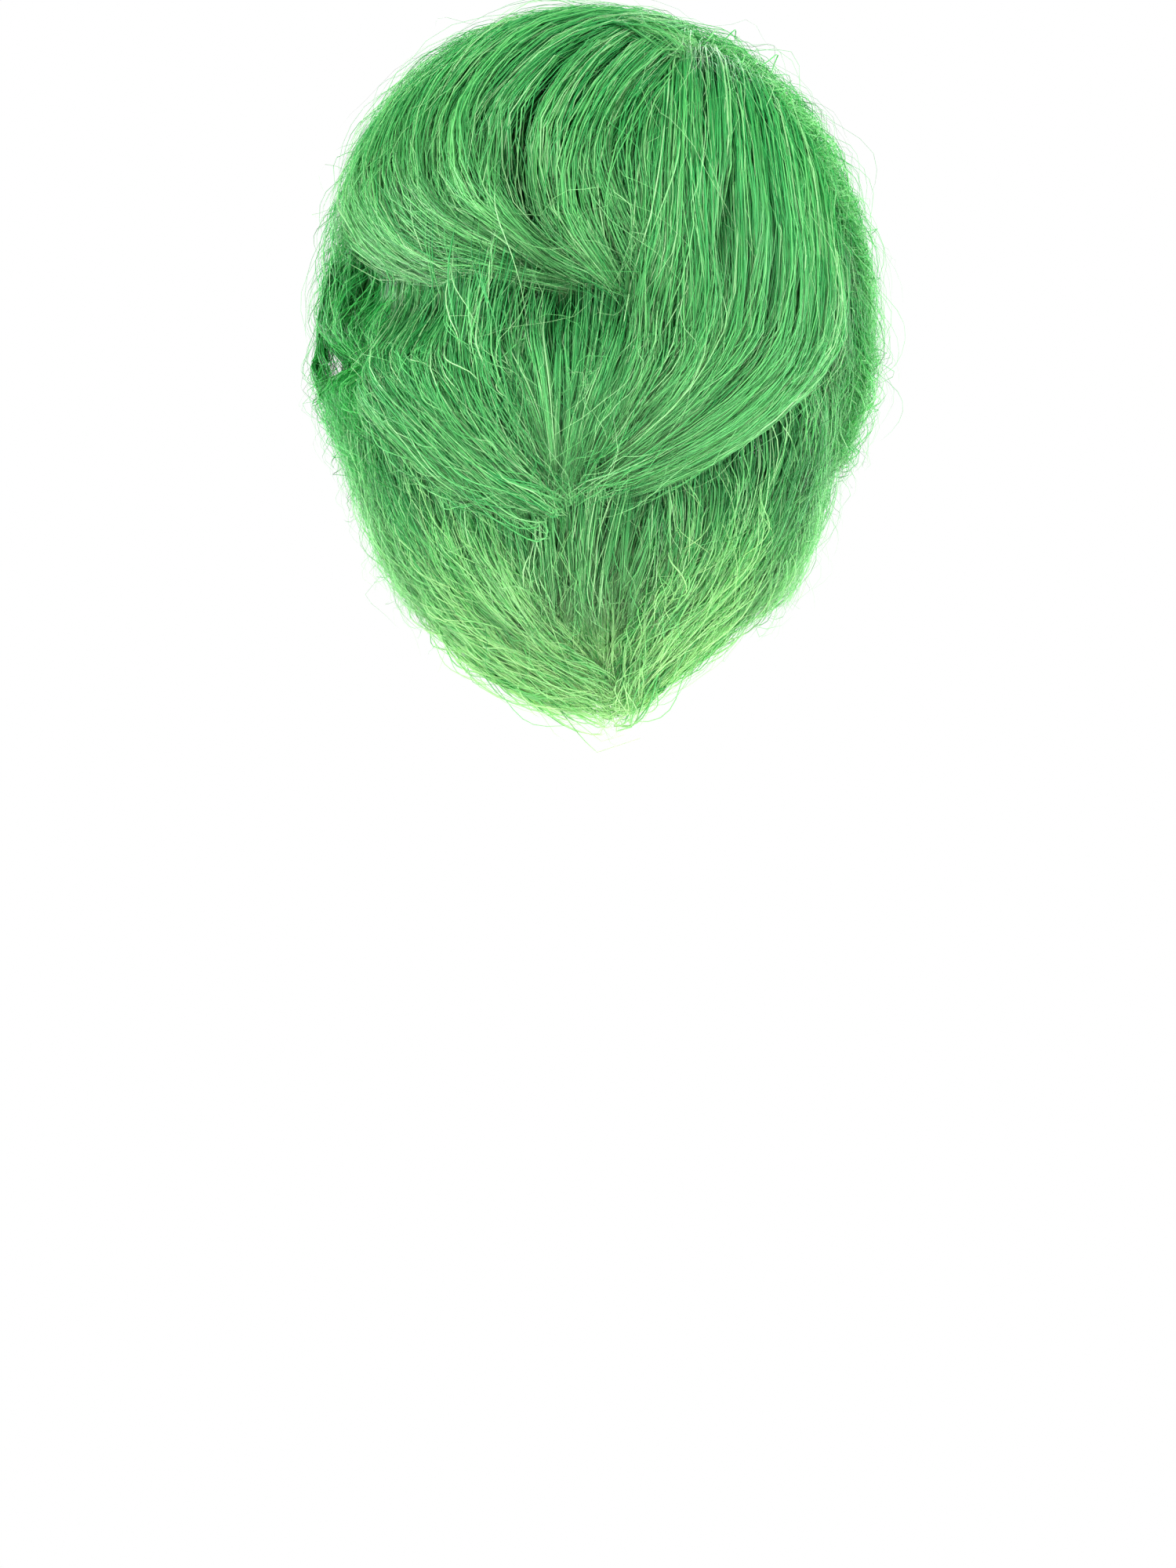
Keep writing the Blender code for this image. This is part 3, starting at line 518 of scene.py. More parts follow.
    # painted shade: the tone, random by lock, clump and strand, is lowered for the deep strands
    tone = (plan["tone"] + habit["toneLock"] * rng.normal(size=plan["locks"])[lock]
            + habit["toneClump"] * rng.normal(size=plan["clumps"])[clump]
            + habit["toneStrand"] * rng.normal(size=count) - habit["deepPaintedShade"] * deep)
    return points, widths, outward, np.clip(tone * toneCount, 0, toneCount - 1).astype(int)


fibreMaterials = {}


def hairMass(node, *bunches):
    # one piece of many strands, which stands for the node's mass of hair. The first bunch is the mass itself, the
    # others change it, and loose hairs over it and wisps under it follow
    # its seed comes from the node's name
    rng = np.random.default_rng(sum(ord(letter) * (place + 3) for place, letter in enumerate(node)))
    main = {**hairDefaults, **bunches[0]}
    plans = [{**main, **changes} for changes in bunches]
    if main["fuzz"]:
        plans.append({**main, **fuzzChanges, "count": main["fuzz"]})
    if main["under"]:
        low = [underShare * share for share in main["shares"]]
        plans.append({**main, **underChanges, "count": main["under"], "shares": low})
    mesh = joinedMesh("hair_" + node, [tubes(*strandPaths(plan, rng)) for plan in plans])
    look = (main["paintedTipLight"], main["rootShade"], main["tint"], main["glow"])
    if look not in fibreMaterials:
        fibreMaterials[look] = fibreMaterial(f"fibre_{len(fibreMaterials) + 1}", *look)
    mesh.materials.append(fibreMaterials[look])
    onWig(linked("hair_" + node, mesh), "hair", node)


# the top layer
hairMass("crown_sweep", {
    "glow": 0.36, "tone": 0.67, "under": 700, "count": 1750, "overCrown": True, "locks": 30, "clumps": 420,
    "rootShare": 0.60, "depth": 0.30, "rootSpread": 0.36, "shortest": 0.60, "spill": 0.02, "wave": 0.0018,
    "frizz": 0.0013, "rise": 0.06, "tipSpread": 0.10, "lockPull": 0.50, "lockRelief": 0.085,
    "guides": [
        [(-146, 52), (-174, 46), (152, 46), (114, 58), (90, 69), (66, 76), (44, 80), (22, 82)],
        [(-142, 42), (176, 32), (126, 36), (94, 52), (78, 66), (58, 76), (34, 82), (10, 84)],
        [(-126, 32), (150, 16), (80, 30), (64, 48), (58, 62), (46, 75), (24, 82), (0, 85)],
        [(-104, 28), (-90, 10), (40, 22), (46, 42), (46, 58), (37, 71), (18, 80), (-3, 86)],
        [(-82, 26), (-50, 18), (14, 26), (28, 44), (32, 58), (27, 72), (10, 81), (-7, 87)],
        [(-68, 26), (-40, 24), (-8, 33), (8, 48), (15, 62), (12, 74), (1, 82), (-10, 88)],
        [(-60, 27), (-36, 30), (-18, 41), (-5, 54), (0, 66), (-2, 76), (-9, 83), (-15, 89)],
        [(-48, 31), (-36, 38), (-27, 49), (-19, 60), (-16, 69), (-16, 78), (-19, 85), (-22, 91)],
    ],
    "shares": [0.90, 1.0, 1.0, 1.0, 0.99, 0.95, 0.90, 0.82],
}, {
    # the blunt tuft at the back end of the parting
    "count": 100, "locks": 4, "clumps": 30, "rootSpread": 0.3, "shortest": 0.96, "steps": 9, "depth": 0.06,
    "curl": 0.0,
    "guides": [
        [(4, 24), (-4, 29), (-12, 34), (-20, 39), (-25, 42)],
        [(-20, 20), (-25, 25), (-28, 30), (-31, 35), (-33, 39)],
    ],
    "shares": [0.96, 0.99, 1.01, 1.02, 1.02],
}, {
    # ends that flick out over the left side
    "count": 420, "locks": 12, "clumps": 110, "curl": 0.003, "curlTurns": 0.9, "flyaways": 0.25,
    "rootSpread": 0.6, "steps": 12,
    "guides": [
        [(-140, 36), (170, 34), (140, 46), (120, 58), (112, 68), (108, 76)],
        [(-126, 30), (150, 26), (112, 40), (102, 54), (97, 66), (95, 75)],
        [(-104, 26), (60, 14), (84, 34), (84, 50), (83, 64), (83, 74)],
        [(-80, 24), (20, 18), (58, 34), (66, 50), (69, 64), (71, 74)],
        [(-64, 24), (-10, 24), (34, 38), (50, 54), (56, 66), (60, 74)],
    ],
    "shares": [0.86, 0.95, 0.97, 0.98, 1.0, 1.0],
}, {
    # short curly tufts all along the top and the left
    "count": 480, "locks": 40, "clumps": 62, "lockPull": 0.0, "clumpPull": 0.75, "rootSpread": 0.85,
    "reach": 0.20, "curl": 0.0030, "curlTurns": 0.8, "steps": 11, "depth": 0.05, "tipSpread": 0.03,
    "tone": 0.66,
    "guides": [
        [(-120, 40), (-150, 30), (150, 30), (120, 44), (108, 60), (104, 78), (100, 88)],
        [(-96, 34), (-110, 12), (96, 20), (98, 40), (94, 58), (92, 74), (90, 88)],
        [(-66, 30), (-30, 20), (40, 24), (70, 40), (78, 56), (80, 72), (80, 86)],
    ],
    "shares": [0.96, 0.99, 1.0, 0.99, 1.0, 1.0, 0.97],
})
hairMass("back_right_sweep", {
    "count": 1900, "under": 600, "locks": 24, "clumps": 320, "depth": 0.26, "lockPull": 0.45,
    "lockRelief": 0.07, "rootShade": 0.02, "rootSpread": 0.32, "shortest": 0.50, "spill": 0.04, "rise": 0.10,
    "tipSpread": 0.15, "rootShare": 0.72, "wave": 0.0020,
    "guides": [
        [(-40, 24), (-24, 36), (-16, 52), (-12, 66), (-10, 80), (-8, 96), (-3, 112), (6, 124)],
        [(-56, 23), (-37, 38), (-27, 55), (-23, 72), (-22, 88), (-17, 104), (-6, 118), (6, 127)],
        [(-70, 25), (-51, 43), (-41, 62), (-39, 78), (-35, 94), (-24, 110), (-8, 122), (7, 129)],
        [(-78, 28), (-62, 51), (-54, 70), (-52, 86), (-46, 100), (-32, 114), (-14, 124), (4, 130)],
        [(-86, 32), (-72, 59), (-63, 78), (-59, 92), (-50, 105), (-34, 117), (-16, 126), (0, 131)],
    ],
    "shares": [0.90, 0.98, 1.0, 1.0, 0.98, 0.95, 0.90, 0.82],
})
hairMass("side_right_upper", {
    "tint": (0.80, 1.0, 0.88), "glow": 0.52, "tone": 0.38, "rootShade": 0.02, "count": 560, "locks": 22,
    "clumps": 240, "depth": 0.35, "curl": 0.0026, "curlTurns": 1.5, "frizz": 0.002, "flyaways": 0.12,
    "rootSpread": 0.34, "rise": 0.07, "shortest": 0.55, "wave": 0.0018, "steps": 13, "rootShare": 0.60,
    "overCrown": True,
    "guides": [
        [(-46, 29), (-62, 44), (-67, 62), (-67, 80), (-68, 96), (-72, 111)],
        [(-62, 22), (-78, 42), (-79, 64), (-78, 84), (-77, 100), (-78, 115)],
        [(-92, 21), (-98, 44), (-94, 66), (-91, 86), (-88, 102), (-86, 118)],
        [(-124, 27), (-116, 48), (-109, 68), (-104, 88), (-99, 104), (-95, 120)],
        [(-142, 36), (-131, 54), (-122, 73), (-114, 91), (-108, 106), (-102, 120)],
    ],
    "shares": [0.86, 0.86, 0.84, 0.85, 0.86, 0.82],
}, {
    # curls that close the parting's back end
    "tone": 0.70, "count": 320, "curl": 0.0030, "curlTurns": 1.4, "depth": 0.16, "rootSpread": 0.7,
    "shortest": 0.4, "clumps": 60, "clumpPull": 0.5, "steps": 13, "rootShare": 0.8,
    "guides": [
        [(-40, 20), (-62, 26), (-74, 38), (-78, 52)],
        [(-80, 14), (-88, 26), (-90, 42), (-90, 58)],
        [(-120, 22), (-112, 34), (-106, 50), (-100, 66)],
    ],
    "shares": [1.02, 1.0, 0.97, 0.95],
}, {
    # curly tufts that stand out along the right side
    "tone": 0.84, "count": 700, "curl": 0.0050, "curlTurns": 1.3, "depth": 0.06, "rootSpread": 0.85,
    "reach": 0.28, "clumps": 80, "clumpPull": 0.85, "locks": 20, "lockPull": 0.0, "steps": 15,
    "rootShare": 0.75,
    "guides": [
        [(-60, 34), (-74, 46), (-78, 62), (-78, 80), (-78, 98), (-80, 114)],
        [(-88, 30), (-90, 46), (-90, 64), (-88, 84), (-88, 100), (-88, 116)],
        [(-112, 36), (-104, 50), (-100, 68), (-98, 86), (-96, 102), (-94, 118)],
    ],
    "shares": [0.96, 0.97, 0.95, 0.93, 0.90, 0.80],
}, {
    # short frizzy curls beside the parting
    "tone": 0.84, "count": 700, "curl": 0.0038, "curlTurns": 1.7, "depth": 0.22, "rootSpread": 0.7,
    "shortest": 0.35, "clumps": 170, "clumpPull": 0.4, "halfWidth": 0.00020, "steps": 15, "overCrown": False,
    "guides": [
        [(-40, 32), (-56, 33), (-68, 38), (-76, 48)],
        [(-52, 42), (-62, 46), (-72, 54), (-78, 64)],
        [(-60, 54), (-69, 60), (-77, 68), (-81, 78)],
        [(-66, 68), (-75, 74), (-81, 82), (-83, 92)],
        [(-72, 84), (-79, 90), (-83, 98), (-84, 108)],
    ],
    "shares": [0.94, 0.97, 0.95, 0.94],
})
leftLoop = {
    "count": 130, "curl": 0.0010, "curlTurns": 0.8, "rootSpread": 0.12, "shortest": 0.9, "clumpPull": 0.6,
    "clumps": 12, "locks": 3, "steps": 15, "depth": 0.04, "rootShare": 0.8, "rise": 0.05, "flyaways": 0.1,
    "hollowed": False, "spill": 0.0, "shares": [0.80, 0.90, 0.95, 0.90, 0.66],
}
hairMass("side_left_upper", {
    **leftPaintedShade, "count": 1250, "locks": 20, "clumps": 200, "depth": 0.34, "curl": 0.0034, "curlTurns": 1.3,
    "frizz": 0.0018, "flyaways": 0.10, "rootSpread": 0.40, "shortest": 0.55, "wave": 0.002, "steps": 13,
    "guides": [
        [(56, 70), (62, 84), (65, 98), (66, 112), (62, 126)],
        [(76, 66), (79, 82), (78, 97), (76, 112), (70, 126)],
        [(96, 60), (96, 78), (92, 95), (87, 111), (80, 126)],
        [(116, 54), (112, 72), (106, 91), (98, 109), (91, 124)],
        [(134, 48), (128, 66), (118, 87), (109, 106), (102, 120)],
    ],
    "shares": [0.80, 0.90, 0.88, 0.82, 0.78],
}, {
    # curls that stand out from the left side
    "count": 300, "curl": 0.0050, "curlTurns": 0.9, "rootSpread": 0.7, "reach": 0.35, "clumpPull": 0.85,
    "clumps": 26, "steps": 17, "depth": 0.1, "rootShare": 0.7, "shares": [0.96, 0.94, 0.90, 0.86, 0.82],
}, {
    # locks that loop out from the left side and back, with light between them and the rest
    **leftLoop,
    "guides": [
        [(82, 76), (88, 84), (92, 91), (93, 98), (90, 106)],
        [(90, 75), (95, 83), (98, 90), (98, 98), (94, 106)],
    ],
}, {
    **leftLoop,
    "guides": [
        [(98, 80), (92, 86), (86, 92), (84, 99), (84, 108)],
        [(104, 80), (98, 87), (92, 93), (89, 100), (88, 108)],
    ],
})
hairMass("fringe_sweep", {
    "highest": 0.94, "count": 1200, "locks": 14, "clumps": 180, "depth": 0.34, "rootSpread": 0.30,
    "shortest": 0.62, "rise": 0.10,
    "guides": [
        [(-148, 56), (-160, 64), (-176, 74), (-196, 84), (-214, 93), (-226, 102)],
        [(-148, 51), (-164, 58), (-182, 66), (-202, 76), (-218, 87), (-231, 98)],
        [(-145, 44), (-168, 48), (-190, 54), (-209, 66), (-224, 79), (-236, 93)],
        [(-142, 38), (-172, 36), (-198, 40), (-217, 52), (-231, 68), (-242, 87)],
    ],
    "shares": [0.84, 0.90, 0.90, 0.89, 0.87, 0.80], "rootShare": 0.7,
})
hairMass("fringe_right", {
    "count": 800, "locks": 9, "clumps": 100, "depth": 0.34, "rootSpread": 0.30, "curl": 0.001,
    "guides": [
        [(-136, 40), (-130, 62), (-123, 83), (-116, 102), (-110, 116)],
        [(-144, 50), (-140, 66), (-132, 86), (-124, 102), (-117, 114)],
        [(-152, 52), (-149, 70), (-141, 88), (-131, 101), (-123, 110)],
    ],
    "shares": [0.86, 0.98, 0.98, 0.94, 0.85], "rootShare": 0.7,
})


def mirrored(sign, guides):
    # the left side's guides, or with sign -1 the same on the right
    return [[(sign * turn, fall) for turn, fall in guide] for guide in guides]


# the middle layer
hairMass("back_centre_fan", {
    # painted shade: a low tone and a long darkened root, for the shade under the crown sweep's tips
    "tone": 0.48, "lockPull": 0.2, "count": 1350, "locks": 24, "clumps": 220, "depth": 0.30, "wave": 0.0006,
    "frizz": 0.0007, "spill": 0.08, "rootSpread": 0.50, "shortest": 0.66, "rise": 0.2, "tipSpread": 0.05,
    "rootShade": 0.50, "steps": 10,
    "guides": [
        [(-24, 60), (-17, 78), (-12, 91), (-8, 104), (-3, 116), (5, 130)],
        [(-11, 60), (-7, 78), (-4, 91), (-1, 104), (3, 117), (7, 131)],
        [(3, 60), (3, 78), (3, 91), (4, 104), (6, 117), (8, 132)],
        [(24, 62), (23, 78), (20, 91), (16, 104), (12, 117), (9, 132)],
    ],
    "shares": [0.50, 0.72, 0.86, 0.90, 0.90, 0.86],
})
sweepFlicks = {  # ends that turn back against the sweep
    "count": 240, "clumps": 30, "clumpPull": 0.8, "rootSpread": 0.8, "reach": 0.30, "curl": 0.0042,
    "curlTurns": 0.6, "depth": 0.05, "rootShare": 0.85, "shares": [0.90, 0.96, 1.0, 1.0, 0.98, 0.94],
    "tone": 0.74, "steps": 13,
}
hairMass("back_left_sweep", {
    "tone": 0.50, "count": 1600, "locks": 20, "clumps": 260, "depth": 0.34, "spill": 0.06, "rootSpread": 0.42,
    "shortest": 0.52, "tipSpread": 0.14, "rootShade": 0.32, "wave": 0.0022,
    "guides": [
        [(8, 62), (12, 78), (15, 93), (15, 107), (13, 120), (8, 132)],
        [(30, 64), (34, 82), (34, 97), (29, 111), (20, 123), (9, 133)],
        [(48, 66), (50, 85), (46, 99), (36, 113), (25, 125), (11, 134)],
        [(66, 68), (66, 90), (59, 104), (47, 117), (33, 129), (14, 136)],
    ],
    "shares": [0.66, 0.86, 0.92, 0.94, 0.92, 0.86],
}, sweepFlicks)
hairMass("back_right_under", {
    "tone": 0.40, "count": 560, "locks": 12, "clumps": 120, "depth": 0.24, "spill": 0.08, "rootSpread": 0.42,
    "fuzz": 0, "steps": 10,
    "guides": [
        [(-62, 62), (-56, 82), (-48, 96), (-35, 108), (-20, 119), (-6, 129)],
        [(-42, 62), (-37, 82), (-31, 96), (-22, 108), (-12, 119), (0, 129)],
        [(-22, 62), (-18, 82), (-13, 96), (-8, 108), (-3, 119), (4, 130)],
    ],
    "shares": [0.55, 0.72, 0.78, 0.80, 0.82, 0.80],
})
for side, sign in (("left", 1), ("right", -1)):
    hairMass(f"side_{side}_lower", {
        "tint": (0.88, 1.0, 0.94), "glow": 0.50, "tone": 0.66, "count": 950, "under": 200, "locks": 12,
        "clumps": 130, "depth": 0.36, "frizz": 0.0016, "flyaways": 0.09, "wave": 0.0022, "rootSpread": 0.45,
        "paintedTipLight": 0.55, "curl": 0.0034, "curlTurns": 1.1, "steps": 14,
        "guides": mirrored(sign, [
            [(54, 84), (58, 104), (62, 121), (64, 136), (58, 150), (44, 161)],
            [(70, 80), (74, 102), (77, 120), (79, 136), (74, 149), (60, 159)],
            [(90, 76), (91, 99), (91, 118), (89, 134), (84, 147), (74, 156)],
            [(112, 72), (107, 94), (103, 112), (98, 128), (93, 141), (86, 151)],
        ]),
        "shares": [0.56, 0.70, 0.74, 0.84, 0.86, 0.74],
    })
    hairMass(f"side_lock_{side}", {
        "count": 500, "under": 160, "locks": 9, "clumps": 110, "depth": 0.36, "paintedTipLight": 0.40,
        "rootSpread": 0.4, "fuzz": 120,
        "guides": mirrored(sign, [
            [(110, 64), (105, 90), (100, 110), (96, 126), (92, 140), (88, 149)],
            [(122, 64), (114, 88), (108, 107), (103, 121), (98, 133), (94, 143)],
            [(134, 64), (124, 86), (117, 103), (111, 115), (106, 127), (102, 137)],
        ]),
        "shares": [0.56, 0.74, 0.80, 0.82, 0.80, 0.72],
    })
# the low layer
lowHair = {
    # painted shade: a low tone and a long darkened root, for the shade of the lower back
    "tone": 0.38, "count": 950, "under": 0, "locks": 14, "clumps": 200, "depth": 0.30, "wave": 0.0008,
    "frizz": 0.0007, "paintedTipLight": 0.28, "rootSpread": 0.35, "shortest": 0.78, "spill": 0.10,
    "lockRelief": 0.06, "tipSpread": 0.04, "lockPull": 0.3, "shares": [0.50, 0.60, 0.68, 0.75, 0.78, 0.94],
    "rootShade": 0.42, "steps": 9, "fuzz": 90,
}
lowFlicks = {  # pale ends that flick outwards
    "count": 260, "rootSpread": 0.6, "reach": 0.30, "curl": 0.0018, "curlTurns": 0.5, "tipSpread": 0.12,
    "rootShare": 0.6, "depth": 0.12, "shares": [0.55, 0.66, 0.74, 0.80, 0.86, 1.02], "tone": 0.8,
}
hairMass("lower_back_right", {
    **lowHair,
    "guides": [
        [(-62, 96), (-60, 112), (-56, 127), (-50, 140), (-41, 150), (-29, 158)],
        [(-45, 96), (-46, 113), (-46, 128), (-43, 141), (-35, 151), (-23, 159)],
        [(-30, 96), (-31, 114), (-32, 129), (-31, 142), (-26, 152), (-16, 160)],
        [(-16, 96), (-18, 114), (-20, 129), (-21, 142), (-19, 152), (-14, 160)],
    ],
}, lowFlicks)
hairMass("lower_back_centre", {
    **lowHair, "count": 900, "paintedTipLight": 0.34,
    "guides": [
        [(-22, 96), (-20, 114), (-18, 129), (-16, 143), (-14, 153), (-12, 161)],
        [(-7, 96), (-6, 114), (-4, 129), (-2, 143), (-1, 153), (-2, 161)],
        [(8, 96), (8, 114), (8, 129), (9, 143), (10, 153), (12, 160)],
        [(22, 96), (23, 114), (24, 129), (24, 143), (24, 153), (25, 160)],
    ],
}, lowFlicks)
hairMass("lower_back_left", {
    **lowHair, "paintedTipLight": 0.32,
    "guides": [
        [(18, 96), (20, 114), (22, 129), (23, 142), (22, 152), (20, 160)],
        [(32, 96), (35, 114), (36, 129), (34, 142), (26, 152), (13, 160)],
        [(48, 96), (51, 114), (51, 129), (46, 142), (34, 153), (16, 162)],
        [(64, 96), (66, 113), (64, 128), (57, 141), (44, 153), (22, 164)],
    ],
}, lowFlicks)
for side, sign in (("left", 1), ("right", -1)):
    hairMass(f"lower_side_{side}", {
        **lowHair, "count": 750, "locks": 10, "clumps": 120, "depth": 0.34, "wave": 0.0012, "frizz": 0.0012,
        "guides": mirrored(sign, [
            [(58, 96), (59, 117), (57, 134), (53, 148), (42, 161)],
            [(75, 96), (75, 116), (72, 132), (65, 146), (54, 158)],
            [(94, 96), (90, 114), (84, 129), (77, 142), (66, 153)],
        ]),
        "shares": [0.55, 0.74, 0.82, 0.86, 0.86],
    })
# the nape: its pale tone and fully pale tips are painted light, for light shining through it from below
napeHair = {
    "count": 1050, "under": 0, "locks": 14, "clumps": 160, "depth": 0.42, "paintedTipLight": 1.0, "frizz": 0.0018,
    "flyaways": 0.12, "glow": 0.55, "rootSpread": 0.35, "shortest": 0.55, "tone": 0.96, "spill": 0.06,
    "wave": 0.0018, "fuzz": 160,
}
napeFlicks = {  # pale ends that stand out in curls
    "count": 300, "clumps": 34, "clumpPull": 0.8, "rootSpread": 0.75, "reach": 0.34, "curl": 0.0040,
    "curlTurns": 0.7, "depth": 0.10, "rootShare": 0.7, "shares": [0.62, 0.86, 0.95, 0.96, 0.92, 0.84],
    "tone": 0.88, "steps": 13,
}
hairMass("nape_left", {
    **napeHair,
    "guides": [
        [(82, 122), (80, 140), (67, 155), (45, 167), (22, 176), (-4, 182)],
        [(64, 120), (63, 138), (51, 153), (32, 165), (12, 174), (-6, 180)],
        [(44, 118), (44, 136), (36, 150), (22, 162), (6, 171), (-7, 177)],
        [(26, 118), (27, 136), (22, 149), (12, 160), (0, 168), (-8, 174)],
    ],
    "shares": [0.50, 0.80, 0.88, 0.86, 0.78, 0.66],
}, napeFlicks)
hairMass("nape_right", {
    **napeHair,
    "guides": [
        [(-76, 122), (-75, 138), (-62, 152), (-43, 164), (-25, 173), (-12, 181)],
        [(-56, 120), (-58, 136), (-47, 150), (-31, 162), (-17, 172), (-10, 180)],
        [(-36, 118), (-39, 135), (-33, 149), (-22, 160), (-13, 169), (-9, 178)],
        [(-20, 118), (-23, 135), (-20, 148), (-14, 158), (-9, 167), (-7, 175)],
    ],
    "shares": [0.50, 0.78, 0.84, 0.82, 0.74, 0.66],
}, napeFlicks)
hairMass("nape_centre", {
    **napeHair, "count": 800, "locks": 8, "clumps": 100,
    "guides": [
        [(-18, 120), (-15, 142), (-12, 157), (-11, 170), (-11, 180)],
        [(0, 120), (0, 142), (-1, 157), (-5, 170), (-9, 181)],
        [(18, 120), (17, 142), (12, 157), (3, 169), (-7, 179)],
    ],
    "shares": [0.40, 0.60, 0.66, 0.66, 0.62],
})
print("hair made")

# the cap's cloth
cap = {
    "netColour": (0.018, 0.110, 0.036),
    "tapeColour": (0.030, 0.250, 0.075),
    "threadColour": (0.120, 0.480, 0.150),
    "skinColour": (0.620, 0.430, 0.310),
    "labelColour": (0.820, 0.830, 0.800),
    "plasticColour": (0.760, 0.790, 0.740),
    "netMesh": 0.0021,  # from one thread of the net to the next
    "netThread": 0.30,  # the thread's share of the mesh
    "netCut": (0.30, 0.31),  # what the net is cut within, before it is stretched
    "netArea": 0.055,  # its flat area, in square metres
    "knitHole": 0.0013,  # from one hole of the parting panel to the next
    "holeColour": (0.16, 0.22, 0.10),
    "labelCut": (0.022, 0.012),
    "ribPitch": 0.0016,  # the elastic's ribs
    "stitchPitch": 0.0034,
    "stitchLength": 0.0025,
    "threadRadius": 0.00022,
    "zigzagPitch": 0.0020,
}


def headNormal(turn, fall):
    # square to the head: the cross of its slopes round and down, from points half a degree to each side
    step = 0.5
    down = placeOn(turn, fall + step, 0.0) - placeOn(turn, fall - step, 0.0)
    along = placeOn(turn + step, fall, 0.0) - placeOn(turn - step, fall, 0.0)
    return unit(np.cross(along, down))


def capPoint(turn, fall, lift):
    # the head's point, plus its normal times the lift
    return placeOn(turn, fall, 0.0) + headNormal(turn, fall) * np.asarray(lift)[..., None]


def onCap(points):
    # the turn, fall and lift of points near the head: the way back from capPoint, bettered three times over
    f, under = wigForm, points
    for _ in range(3):
        height = (under[:, 2] + f["crownHeight"]) / f["crownHeight"]
        lower = np.clip(-height * f["crownHeight"] / f["dropHeight"], 0, 1.2)
        width, depth, _height = formPart(
            90 + 90 * lower, f["headHalfWidth"], f["headHalfDepth"], f["crownHeight"],
            f["neckHalfWidth"], f["neckHalfDepth"], f["headSquareness"])
        x, y = under[:, 0] / width, under[:, 1] / depth
        turn = np.degrees(np.arctan2(x, y))
        fall = np.where(height > 0, np.degrees(np.arctan2(np.hypot(x, y), height)), 90 + 90 * lower)
        normal = headNormal(turn, fall)
        lift = ((points - placeOn(turn, fall, 0.0)) * normal).sum(1)
        under = points - lift[:, None] * normal
    return turn, fall, lift


def nodePlace(node, turned=False):
    # where a node lies on the cap: its columns, the edge on each side of each column, and its lowest
    # and highest lift
    turn, fall, lift = onCap(nodePoints(node))
    if np.ptp(turn) > 300 and np.ptp(turn % 360) < 300:
        turn = turn % 360
    along, across = (fall, turn) if turned else (turn, fall)
    order = np.argsort(along)
    breaks = np.flatnonzero(np.diff(along[order]) > 0.9) + 1
    columns = np.split(order, breaks)
    centre = np.array([along[column].mean() for column in columns])
    low = np.array([across[column].min() for column in columns])
    high = np.array([across[column].max() for column in columns])
    return centre, low, high, lift.min(), lift.max()


def gridQuads(rows, columns, wrap=False):
    # the faces of a grid numbered row by row; with wrap, each row closes on itself
    row = np.arange(rows - 1)[:, None] * columns
    column = np.arange(columns if wrap else columns - 1)[None]
    after = (column + 1) % columns
    quads = np.stack([row + column, row + after, row + columns + after, row + columns + column], -1)
    return quads.reshape(-1, 4)


def clothShell(name, inner, outer, flat, material, wrap=False):
    # two grids of points joined round their rims; flat is each point's place on the cloth, in metres
    rows, columns = inner.shape[:2]
    count = rows * columns
    grid = gridQuads(rows, columns, wrap)
    numbers = np.arange(count).reshape(rows, columns)
    ring = list(numbers[0]) + list(numbers[1:, -1]) + list(numbers[-1, -2::-1]) + list(numbers[-2:0:-1, 0])
    rims = [numbers[0], numbers[-1][::-1]] if wrap else [np.array(ring)]
    sides = []
    for rim in rims:
        after = np.roll(rim, -1)
        sides.append(np.stack([after, rim, rim + count, after + count], -1))
    quads = np.concatenate([grid + count, grid[:, ::-1], *sides])
    points = np.concatenate([inner.reshape(-1, 3), outer.reshape(-1, 3)])
    corners = points[quads]
    volume = (corners[:, 0] * np.cross(corners[:, 1], corners[:, 2])
              + corners[:, 0] * np.cross(corners[:, 2], corners[:, 3])).sum()
    if volume < 0:
        quads = quads[:, ::-1]
    mesh = bpy.data.meshes.new(name)
    mesh.from_pydata(points.tolist(), [], quads.tolist())
    mesh.shade_smooth()
    weave = mesh.uv_layers.new(name="weave")
    flatPoints = np.concatenate([flat.reshape(-1, 2)] * 2)
    weave.uv.foreach_set("vector", flatPoints[quads.reshape(-1)].reshape(-1).astype(np.float32))
    mesh.materials.append(material)
    return linked(name, mesh)


def lengthAlong(points):
    # the running sum of the gaps between points
    steps = np.linalg.norm(np.diff(points, axis=0), axis=1)
    return np.concatenate([[0], np.cumsum(steps)])


